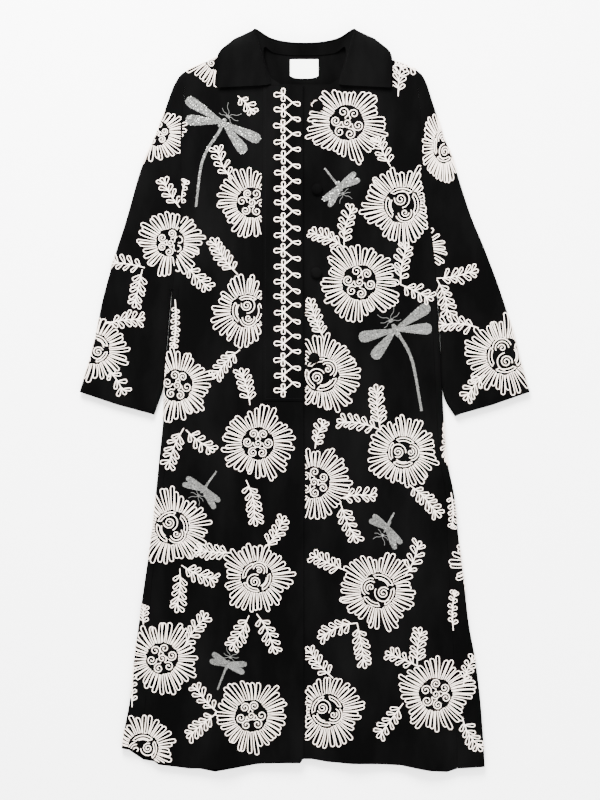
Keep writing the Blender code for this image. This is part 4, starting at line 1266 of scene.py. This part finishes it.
def velvet_paint(name):
    # Cotton velvet, woven with a cut pile: it swallows light seen from above and shows a grey sheen
    # where the cloth turns away. The brushed pile's sheen is painted sheen: random patches get the lighter
    # nap colour.
    colours = bpy.context.scene.coat_colours
    material, tree, shader = new_paint(name)
    place = on_object(tree)
    long = add_node(tree, "ShaderNodeMapping", {"Vector": place, "Scale": (1.0, 0.4, 1.0)}).outputs[0]
    brushed_pile_sheen = noise(tree, long, 14.0, {"Detail": 4.0, "Roughness": 0.55})
    # Painted sheen: random patches of brushed pile get the lighter nap colour
    tone = blend(tree, ranged(tree, brushed_pile_sheen, before=(0.42, 0.72)), colours.velvet, colours.nap)
    # Pile tufts are about 0.3 mm apart; they are drawn at 1.2 mm so that they show.
    pile = noise(tree, place, 850.0, {"Detail": 2.0})
    crush = noise(tree, long, 60.0, {"Detail": 3.0, "Roughness": 0.5})
    both = figure(tree, "MULTIPLY_ADD", crush, 1.6, pile)
    rough = ranged(tree, brushed_pile_sheen, after=(0.95, 0.80))
    shader.inputs["Sheen Weight"].default_value = 0.010
    shader.inputs["Sheen Roughness"].default_value = 0.25
    shader.inputs["Sheen Tint"].default_value = (0.80, 0.80, 0.84, 1)
    shader.inputs["Specular IOR Level"].default_value = 0.01
    wire(tree, shader, tone, rough, both, 0.35, 0.0008)
    return material


def cord_paint(name):
    # Mercerised cotton cord, two plies twisted together: matt and off-white, with painted shade
    # as a darker line between the plies.
    colours = bpy.context.scene.coat_colours
    material, tree, shader = new_paint(name)
    along, around = (add_node(tree, "ShaderNodeAttribute", attribute_name=word).outputs["Fac"]
                     for word in ("along", "around"))
    # One twist of the plies takes 2.4 mm.
    twist = figure(tree, "MULTIPLY", along, 1 / 0.0024)
    wound = figure(tree, "MULTIPLY_ADD", around, 2.0, twist)
    ply = figure(tree, "SINE", figure(tree, "MULTIPLY", wound, 2 * math.pi))
    # Painted shade: the cord darkens towards the groove between its plies
    groove_shade = ranged(tree, ply, before=(-1.0, -0.2))
    mixed = figure(tree, "MULTIPLY_ADD", groove_shade, 0.72, 0.20)
    fade = noise(tree, on_object(tree), 45.0)
    whole = figure(tree, "MULTIPLY_ADD", fade, 0.22, mixed, use_clamp=True)
    shader.inputs["Roughness"].default_value = 0.75
    shader.inputs["Sheen Weight"].default_value = 0.15
    wire(tree, shader, blend(tree, whole, colours.ply_painted_shade, colours.cord), None, ply, 0.5, 0.0003)
    return material


def sequin_paint(name):
    # Small polished metallised film sequins: each one catches the light differently, drawn as a painted
    # glint (a random lightness in each one's colour) and a random roughness.
    colours = bpy.context.scene.coat_colours
    material, tree, shader = new_paint(name)
    glint_and_gloss = add_node(tree, "ShaderNodeAttribute", attribute_name="glint_and_gloss").outputs["Fac"]
    # Painted glint: each sequin's colour is made lighter or darker at random
    tone = add_node(tree, "ShaderNodeMix", {"Factor": 1.0}, data_type="RGBA", blend_type="MULTIPLY")
    tone.inputs[6].default_value = (*colours.sequin, 1)
    tree.links.new(ranged(tree, glint_and_gloss, after=(0.06, 0.75)), tone.inputs[7])
    shader.inputs["Metallic"].default_value = 0.65
    wire(tree, shader, tone.outputs[2], ranged(tree, glint_and_gloss, after=(0.42, 0.25)))
    return material


def backing_paint(name):
    # Grey silk organza under the sequins.
    material, tree, shader = new_paint(name)
    weave = noise(tree, on_object(tree), 1500.0)
    shader.inputs["Roughness"].default_value = 0.6
    tone = blend(tree, weave, linear("#2A2A29"), linear("#5A5A58"))
    wire(tree, shader, tone, None, weave, 0.3, 0.0003)
    return material


def satin_paint(name):
    # Woven satin ribbon: fine bright lines across it, drawn 1 mm apart so that they show.
    colours = bpy.context.scene.coat_colours
    material, tree, shader = new_paint(name)
    weave = add_node(tree, "ShaderNodeTexWave", {"Vector": on_object(tree), "Scale": 320.0,
                                                 "Distortion": 0.6}, bands_direction="Y").outputs[0]
    tone = blend(tree, weave, [v * 0.90 for v in colours.label], colours.label)
    shader.inputs["Roughness"].default_value = 0.42
    shader.inputs["Sheen Weight"].default_value = 0.2
    wire(tree, shader, tone, None, weave, 0.25, 0.0002)
    return material


def thread_paint(name):
    # Polyester sewing thread, black on the velvet and white on the label.
    codes = ("#B8B8B4", "#DCDCD8") if name.startswith("white") else ("#030303", "#070708")
    material, tree, shader = new_paint(name)
    fuzz = noise(tree, on_object(tree), 900.0)
    shader.inputs["Roughness"].default_value = 0.85
    shader.inputs["Specular IOR Level"].default_value = 0.05
    wire(tree, shader, blend(tree, fuzz, *(linear(code) for code in codes)))
    return material


def floor_paint(name):
    # Matt painted board, pale and even.
    material, _, shader = new_paint(name)
    shader.inputs["Base Color"].default_value = (*bpy.context.scene.coat_colours.floor, 1)
    shader.inputs["Roughness"].default_value = 0.9
    return material


PAINTS = {
    "cotton_velvet": velvet_paint,
    "twisted_cotton_cord": cord_paint,
    "film_sequins": sequin_paint,
    "organza_backing": backing_paint,
    "woven_satin": satin_paint,
    "black_sewing_thread": thread_paint,
    "white_sewing_thread": thread_paint,
    "painted_floor": floor_paint,
}


class COAT_OT_body(bpy.types.Operator):
    """Make the back and the two fronts"""

    bl_idname = "coat.body"
    bl_label = "Back and Fronts"

    def execute(self, context):
        velvet = paint("cotton_velvet")
        seat(cloth("velvet_back", back_parts(), top_height, False, velvet), ["back"])
        seat(cloth("velvet_front_right", front_parts(-1), lapped_height, True, velvet),
             ["front_right"])
        seat(cloth("velvet_front_left", front_parts(1), top_height, True, velvet),
             ["front_left"])
        return {"FINISHED"}


class COAT_OT_sleeves(bpy.types.Operator):
    """Make the upper and under sleeves"""

    bl_idname = "coat.sleeves"
    bl_label = "Sleeves"

    def execute(self, context):
        velvet = paint("cotton_velvet")
        for side, word in ((-1, "right"), (1, "left")):
            under, upper = "velvet_under_sleeve_" + word, "velvet_sleeve_" + word
            seat(cloth(under, under_sleeve_parts(side), top_height, False, velvet),
                 ["sleeve_" + word + "_under"])
            seat(cloth(upper, sleeve_parts(side), top_height, True, velvet),
                 ["sleeve_" + word + "_upper"])
        return {"FINISHED"}


class COAT_OT_band(bpy.types.Operator):
    """Make the plain band of the front edge with its topstitching"""

    bl_idname = "coat.band"
    bl_label = "Front Band"

    def execute(self, context):
        x0, x1, y0, y1 = BAND
        rows, columns = BAND_GRID
        grid = np.array([(x, y) for y in np.linspace(y0, y1, rows) for x in np.linspace(x0, x1, columns)])
        edge = np.minimum.reduce([grid[:, 0] - x0, x1 - grid[:, 0], grid[:, 1] - y0])
        dip = BAND_EDGE_DIP * (1 - np.clip(edge / BAND_EDGE_REACH, 0, 1)) ** 2
        spots = skin(grid, lapped_height, BAND_LIFT - dip)
        shape = new_object("velvet_band", spots, grid_faces(rows, columns))
        face_outwards(shape, lambda p: Vector((0, 0, 1)))
        give_wall(shape, BAND_WALL)
        shape.data.materials.append(paint("cotton_velvet"))
        seat(shape, ["front_band"])
        line = [(x0 + STITCH_INSET, y1 - 2), (x0 + STITCH_INSET, y0 + STITCH_INSET),
                (x1 - STITCH_END_INSET, y0 + STITCH_INSET)]
        lifted = skin(refined(line, 8), lapped_height, BAND_LIFT + 0.1)
        stitches = lines_object("band_topstitch", [lifted])
        grow(stitches, bpy.data.node_groups.get("Topstitch") or stitch_tree(),
             {"Length": context.scene.coat_sizes.stitch, "Thread": 0.00025,
              "Material": paint("black_sewing_thread")})
        seat(stitches)
        return {"FINISHED"}


def collar_grid():
    """Points of the collar: round the neck in one direction and from seam to edge in the other."""
    rows = []
    for side in (-1, 1):
        half = [[v * side if i in (0, 3, 6) else v for i, v in enumerate(row)] for row in COLLAR_HALF]
        rows += half + [list(COLLAR_BACK)] if side < 0 else half[::-1]
    stations = []
    for row in rows:
        seam, roll, edge = (np.array(row[i:i + 3], float) for i in (0, 3, 6))
        heel = roll + (edge - roll) * COLLAR_HEEL
        heel[2] = edge[2] + (heel[2] - edge[2]) * row[9]
        section = [seam, seam + (roll - seam) * 0.5, seam + (roll - seam) * 0.88, roll, heel]
        section += [heel + (edge - heel) * part for part in (0.35, 0.7, 1.0)]
        stations.append(np.array(section))
    return np.array(stations)


def across_spline(grid, count):
    """More rows between the rows of a grid of points, on smooth lines."""
    padded = np.concatenate([2 * grid[:1] - grid[1:2], grid, 2 * grid[-1:] - grid[-2:-1]])
    out = []
    for i in range(len(grid) - 1):
        a, b, c, d = padded[i:i + 4]
        for k in range(count):
            out.append(between(a, b, c, d, k / count))
    out.append(grid[-1])
    return np.array(out)


class COAT_OT_collar(bpy.types.Operator):
    """Make the collar, which stands at the neck, rolls over and falls"""

    bl_idname = "coat.collar"
    bl_label = "Collar"

    def execute(self, context):
        grid = across_spline(collar_grid(), 6)
        grid = across_spline(grid.transpose(1, 0, 2), 4).transpose(1, 0, 2)
        shape = new_object("velvet_collar", grid.reshape(-1, 3), grid_faces(*grid.shape[:2]))
        face_outwards(shape, lambda p: Vector((0, 0, 1)))
        give_wall(shape, COLLAR_WALL, 0.0, 80)
        shape.data.materials.append(paint("cotton_velvet"))
        seat(shape, ["collar"])
        return {"FINISHED"}


def back_region():
    """Part of the back on which its motifs may lie."""
    right, left = (SIDE_ROLL[side].starts for side in (-1, 1))
    hem = [(x, y + 6) for x, y in BACK_HEM]
    return np.concatenate([right, hem, left[::-1], arm_line(1, -2)[::-1], [(180, 575), (-180, 575)],
                           arm_line(-1, -2)])


def under_sleeve_region(side):
    """Part of an under sleeve on which its flowers may lie."""
    inner, outer = INNER_ROLL[side], SHOULDER_ROLL[side]
    far = outer.share >= SHOULDER + 3
    return np.concatenate([outer.starts[far] + (0, 4), inner.starts[::-1] + (0, 4),
                           arm_line(side, 2)[::-1][1:5]])


class COAT_OT_flowers(bpy.types.Operator):
    """Couch the corded flowers and sprigs on the fronts, sleeves and back"""

    bl_idname = "coat.flowers"
    bl_label = "Corded Flowers"

    def execute(self, context):
        sizes = context.scene.coat_sizes
        cord = paint("twisted_cotton_cord")
        lift = 0.40 * sizes.cord / MM
        for side, word in ((-1, "right"), (1, "left")):
            for part in ("body", "sleeve"):
                region = top_region(side) if part == "body" else sleeve_region(side)
                lines = []
                spread_out = part == "sleeve" and side < 0
                for line in motif_lines(part + "_" + word, None if spread_out else region):
                    for piece in clipped(line, region):
                        lines.append(self.laid(side, piece, lift, part))
                    # The right sleeve's flowers run on past the armhole seam.
                    if spread_out:
                        for piece in clipped(line, top_region(side)):
                            lines.append(self.laid(side, piece, lift, "body"))
                cord_piece("cord_" + part + "_" + word, lines, sizes.cord, 6, cord)
        self.underneath(sizes, cord)
        return {"FINISHED"}

    @staticmethod
    def laid(side, piece, lift, part):
        """A piece of cord on the cloth, with more points where the cloth rolls."""
        sleeve = part == "sleeve"
        rolls = [SHOULDER_ROLL[side], INNER_ROLL[side] if sleeve else SIDE_ROLL[side]]
        near = any((roll.locate(piece)[0] > -8).any() for roll in rolls)
        if near:
            piece = refined(piece, 4.0)
        lapped = part == "body" and side < 0
        return on_top(side, piece, lift, lapped, sleeve)

    @staticmethod
    def underneath(sizes, cord):
        """The back's and the under sleeves' own flowers, pressed between the cloth and the surface."""
        rng = random.Random(SEED + 90)
        lines = []
        for x, y, radius, rose in BACK_FLOWERS:
            lines += flower(x, y, radius, rose, 1, rng)
        for row in BACK_SPRIGS:
            lines += sprig(*row, 1, rng)
        region = back_region()
        pieces = {"back": [piece for line in lines for piece in clipped(line, region)],
                  "under_sleeves": []}
        for side in (-1, 1):
            region = under_sleeve_region(side)
            for row in UNDER_SLEEVE_FLOWERS[side]:
                for line in flower(*row, 1, rng):
                    pieces["under_sleeves"] += clipped(line, region)
        lift = 0.5 * sizes.under_cord / MM
        for word, rows in pieces.items():
            laid = [skin(np.asarray(row), underside, lift, False) for row in rows]
            cord_piece("cord_" + word, laid, sizes.under_cord, 5, cord)


def braid_lines():
    """The looped cord braid: a chain of knots with side loops and a zigzag to the edge."""
    rng = random.Random(SEED + 40)
    lines = []
    for k in range(BRAID_REPEATS):
        x = BRAID_CHAIN_X + rng.uniform(-BRAID_STRAY, BRAID_STRAY)
        y = BRAID_TOP_Y - k * BRAID_PITCH + rng.uniform(-BRAID_STRAY, BRAID_STRAY)
        ways = (math.pi + rng.uniform(-0.15, 0.15), math.pi / 2, -math.pi / 2)
        for angle, (long, half) in zip(ways, BRAID_LOOPS):
            lines.append(turned(petal(long, -1.0, 0.8, half, 0.0), x, y, angle))
        if k == BRAID_REPEATS - 1:
            lines.append([(x, y), (x + 5, y - 4)])
            continue
        long, half = EDGE_LOOP
        loop = turned(petal(long, 0.0, 0.7, half, 0.0), BRAID_CHAIN_X + EDGE_LOOP_REACH,
                      y - BRAID_PITCH / 2, rng.uniform(-0.42, -0.02))
        lines.append([(x + 1, y - 1), (x + 8.5, y - BRAID_PITCH * 0.25)] + loop
                     + [(x + 8.5, y - BRAID_PITCH * 0.75), (x + 1, y - BRAID_PITCH + 1)])
    return lines


class COAT_OT_braid(bpy.types.Operator):
    """Sew the looped cord braid on the band"""

    bl_idname = "coat.braid"
    bl_label = "Looped Braid"

    def execute(self, context):
        sizes = context.scene.coat_sizes
        lift = BAND_LIFT + 0.45 * sizes.braid_cord / MM
        lines = [skin(refined(line, 6.0), lapped_height, lift) for line in braid_lines()]
        cord_piece("cord_braid", lines, sizes.braid_cord, 8, paint("twisted_cotton_cord"),
                   replaced=["front_braid"])
        return {"FINISHED"}


def blade(root, tip, half_width, profile):
    """Outline of a long rounded form between two points."""
    root, tip = np.array(root, float), np.array(tip, float)
    along = tip - root
    side = np.array([-along[1], along[0]]) / np.linalg.norm(along) * half_width
    right = [root + along * s + side * w for s, w in profile]
    left = [root + along * s - side * w for s, w in reversed(profile)]
    return right + left


def dragonfly_forms(row):
    """Outlines of one dragonfly's wings, body, tail and head."""
    body, head, tips, tail, half, _ = row
    forms = [blade(body, tip, half, LONG_WING if half > LONG_FORM else SHORT_WING) for tip in tips]
    ahead = np.array(head, float) - body
    forms.append(blade(np.array(body) - ahead * 0.9, np.array(body) + ahead * 0.7, half * 0.45, ROUND))
    forms.append(blade(head, np.array(head) + ahead * 0.35, half * 0.4, ROUND))
    line = [np.array(body, float)] + [np.array(p, float) for p in tail]
    line = spline(line, 8.0)[0] if len(line) > 2 else np.array(line)
    along = np.gradient(line, axis=0)
    side = np.stack([-along[:, 1], along[:, 0]], 1) / np.linalg.norm(along, axis=1)[:, None]
    width = (np.linspace(0.34, 0.24, len(line)) * (half if half < LONG_FORM else 0.8 * half))[:, None]
    forms.append(list(line + side * width) + list((line - side * width)[::-1]))
    return forms


def feelers(row):
    """Thin threads of the feelers and legs in front of a dragonfly's head."""
    body, head, _, _, half, _ = row
    ahead = math.atan2(head[1] - body[1], head[0] - body[0])
    lines = []
    for turn, share in FEELERS:
        reach = 0.42 * share * max(13.0, 1.8 * half)
        bend = ahead + turn
        line = [head]
        for curl in (0.0, 0.7, -0.5):
            bend += curl * (1 if turn > 0 else -1)
            line.append((line[-1][0] + reach * math.cos(bend), line[-1][1] + reach * math.sin(bend)))
        lines.append(spline(np.array(line, float), 2.0)[0])
    return lines


def filled(name, forms, place, material):
    """Flat forms filled with small faces and laid on the cloth."""
    points, faces = [], []
    for form in forms:
        outline = np.array(form)
        low, high = outline.min(0), outline.max(0)
        grid = np.array([(x, y) for x in np.arange(low[0], high[0], FILL_STEP)
                         for y in np.arange(low[1], high[1], FILL_STEP)])
        grid = grid[inside(outline, grid)]
        grid = grid[from_border(outline, grid) > SAME_POINT]
        found = triangulated(outline, grid)
        first = len(points)
        points += [tuple(p) for p in found[0]]
        faces += [tuple(first + i for i in face) for face in found[2]]
    shape = new_object(name, place(np.array(points)), faces)
    face_outwards(shape, lambda p: Vector((0, 0, 1)))
    shape.data.materials.append(material)
    return shape


class COAT_OT_dragonflies(bpy.types.Operator):
    """Sew the six sequin dragonflies on the fronts"""

    bl_idname = "coat.dragonflies"
    bl_label = "Dragonflies"

    def execute(self, context):
        sizes = context.scene.coat_sizes
        for number, row in enumerate(DRAGONFLIES, 1):
            side = -1 if row[5] == "body_right" else 1

            def place(points, offset=0.5):
                return on_top(side, points, offset, side < 0)

            name = "dragonfly_" + str(number)
            base = filled(name + "_backing", dragonfly_forms(row), place, paint("organza_backing"))
            scatter = base.copy()
            scatter.data = base.data.copy()
            scatter.name = name
            context.scene.collection.objects.link(scatter)
            give_wall(base, BACKING_WALL)
            seat(base)
            for vertex in scatter.data.vertices:
                vertex.co.z += BACKING_WALL
            grow(scatter, bpy.data.node_groups.get("Sequins") or sequin_tree(),
                 {"Width": sizes.bead, "Seed": SEED + number, "Material": paint("film_sequins")})
            seat(scatter)
            threads = [place(refined(line, 3.0), 0.6) for line in feelers(row)]
            cord_piece(name + "_feelers", threads, FEELER, 5, paint("organza_backing"))
        return {"FINISHED"}


class COAT_OT_buttons(bpy.types.Operator):
    """Sew on the four velvet-covered buttons"""

    bl_idname = "coat.buttons"
    bl_label = "Covered Buttons"

    def execute(self, context):
        radius = context.scene.coat_sizes.button / MM / 2
        around = [2 * math.pi * k / BUTTON_SIDES for k in range(BUTTON_SIDES)]
        following = [(k + 1) % BUTTON_SIDES for k in range(BUTTON_SIDES)]
        for number, (x, y) in enumerate(BUTTONS, 1):
            base = float(top_height(np.array([x]), np.array([y]))[0])
            points = [(share * radius * math.cos(a) + x, share * radius * math.sin(a) + y, z + base)
                      for share, z in BUTTON_PROFILE[:-1] for a in around]
            last = len(points) - BUTTON_SIDES
            points += [(x, y, BUTTON_PROFILE[-1][1] + base), (x, y, BUTTON_PROFILE[0][1] + base)]
            top, low = len(points) - 2, len(points) - 1
            faces = [(j + k, j + after, j + BUTTON_SIDES + after, j + BUTTON_SIDES + k)
                     for j in range(0, last, BUTTON_SIDES) for k, after in enumerate(following)]
            faces += [(last + k, last + after, top) for k, after in enumerate(following)]
            faces += [(after, k, low) for k, after in enumerate(following)]
            shape = new_object("covered_button_" + str(number), points, faces)
            shape.data.materials.append(paint("cotton_velvet"))
            shape.data.shade_smooth()
            seat(shape, ["button_" + str(number)])
        return {"FINISHED"}


class COAT_OT_label(bpy.types.Operator):
    """Sew the bare label in the neck"""

    bl_idname = "coat.label"
    bl_label = "Neck Label"

    def execute(self, context):
        x0, x1, y0, y1 = LABEL
        rows, columns = LABEL_GRID
        points = []
        for j in range(rows):
            for i in range(columns):
                s, t = i / (columns - 1), j / (rows - 1)
                dip = LABEL_CORNER_BOW * (2 * s - 1) ** 4 + LABEL_BOW * (2 * s - 1) ** 2
                low = y0 + dip * 0.9
                points.append((x0 + (x1 - x0) * s, low + (y1 - low) * t))
        points = np.array(points)
        wave = 0.35 * np.sin(points[:, 0] / 9.0) * smooth((y1 - points[:, 1]) / 20)
        height = underside(points[:, 0], points[:, 1]) - UNDER_ROOM
        spots = np.column_stack([points, height + LABEL_LIFT + 1.0 + wave])
        shape = new_object("satin_label", spots, grid_faces(rows, columns))
        face_outwards(shape, lambda p: Vector((0, 0, 1)))
        give_wall(shape, LABEL_WALL)
        shape.data.materials.append(paint("woven_satin"))
        seat(shape, ["neck_label"])
        lines = []
        for x in (x0 + 1.6, x1 - 1.6):
            line = refined([(x, y0 + 6), (x, y1 - 1.5)], 4.0)
            z = underside(line[:, 0], line[:, 1]) - UNDER_ROOM + LABEL_LIFT + 1.15
            lines.append(np.column_stack([line, z]))
        stitches = lines_object("label_stitches", lines)
        grow(stitches, bpy.data.node_groups.get("Topstitch") or stitch_tree(),
             {"Length": 0.0016, "Thread": 0.00018, "Material": paint("white_sewing_thread")})
        seat(stitches)
        return {"FINISHED"}


class COAT_OT_stage(bpy.types.Operator):
    """Set the pale floor, the soft lights and the camera straight above"""

    bl_idname = "coat.stage"
    bl_label = "Stage"

    def execute(self, context):
        corners = [(-FLOOR_HALF, -FLOOR_HALF), (FLOOR_HALF, -FLOOR_HALF), (FLOOR_HALF, FLOOR_HALF),
                   (-FLOOR_HALF, FLOOR_HALF)]
        floor = new_object("floor", [(x, y, FLOOR_Z) for x, y in corners], [(0, 1, 2, 3)])
        floor.data.materials.append(paint("painted_floor"))
        world = bpy.data.worlds.new("soft_room")
        world.use_nodes = True
        world.node_tree.nodes["Background"].inputs["Color"].default_value = (1, 1, 1, 1)
        world.node_tree.nodes["Background"].inputs["Strength"].default_value = ROOM_LIGHT
        context.scene.world = world
        for name, place, across, power in LAMPS:
            lamp = bpy.data.objects.new(name, bpy.data.lights.new(name, "AREA"))
            lamp.data.size = across
            lamp.data.energy = power
            lamp.location = place
            lamp.rotation_euler = (-Vector(place)).to_track_quat("-Z", "Y").to_euler()
            context.scene.collection.objects.link(lamp)
        camera = bpy.data.objects.new("camera", bpy.data.cameras.new("camera"))
        camera.data.sensor_fit = "VERTICAL"
        camera.data.sensor_height = SENSOR_HEIGHT
        camera.data.lens = LENS
        camera.location = (*PICTURE_MIDDLE, PICTURE_HEIGHT / 2 / (SENSOR_HEIGHT / 2 / LENS))
        context.scene.collection.objects.link(camera)
        context.scene.camera = camera
        return {"FINISHED"}


class COAT_PT_panel(bpy.types.Panel):
    """The coat's sizes, colours and pieces"""

    bl_label = "Embroidered Coat"
    bl_idname = "COAT_PT_panel"
    bl_space_type = "VIEW_3D"
    bl_region_type = "UI"
    bl_category = "Coat"

    def draw(self, context):
        for settings in (context.scene.coat_sizes, context.scene.coat_colours):
            for name in settings.bl_rna.properties.keys():
                if name not in ("rna_type", "name"):
                    self.layout.prop(settings, name)
        for piece in PIECES:
            self.layout.operator(piece.bl_idname)


PIECES = (COAT_OT_body, COAT_OT_sleeves, COAT_OT_band, COAT_OT_collar, COAT_OT_flowers,
          COAT_OT_braid, COAT_OT_dragonflies, COAT_OT_buttons, COAT_OT_label, COAT_OT_stage)
CLASSES = (CoatSizes, CoatColours) + PIECES + (COAT_PT_panel,)


def register():
    for kind in CLASSES:
        bpy.utils.register_class(kind)
    bpy.types.Scene.coat_sizes = bpy.props.PointerProperty(type=CoatSizes)
    bpy.types.Scene.coat_colours = bpy.props.PointerProperty(type=CoatColours)


def unregister():
    del bpy.types.Scene.coat_colours
    del bpy.types.Scene.coat_sizes
    for kind in reversed(CLASSES):
        bpy.utils.unregister_class(kind)


def main():
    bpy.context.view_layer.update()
    register()
    bpy.ops.coat.body()
    bpy.ops.coat.sleeves()
    bpy.ops.coat.band()
    bpy.ops.coat.collar()
    bpy.ops.coat.flowers()
    bpy.ops.coat.braid()
    bpy.ops.coat.dragonflies()
    bpy.ops.coat.buttons()
    bpy.ops.coat.label()
    bpy.ops.coat.stage()


if __name__ == "__main__":
    main()
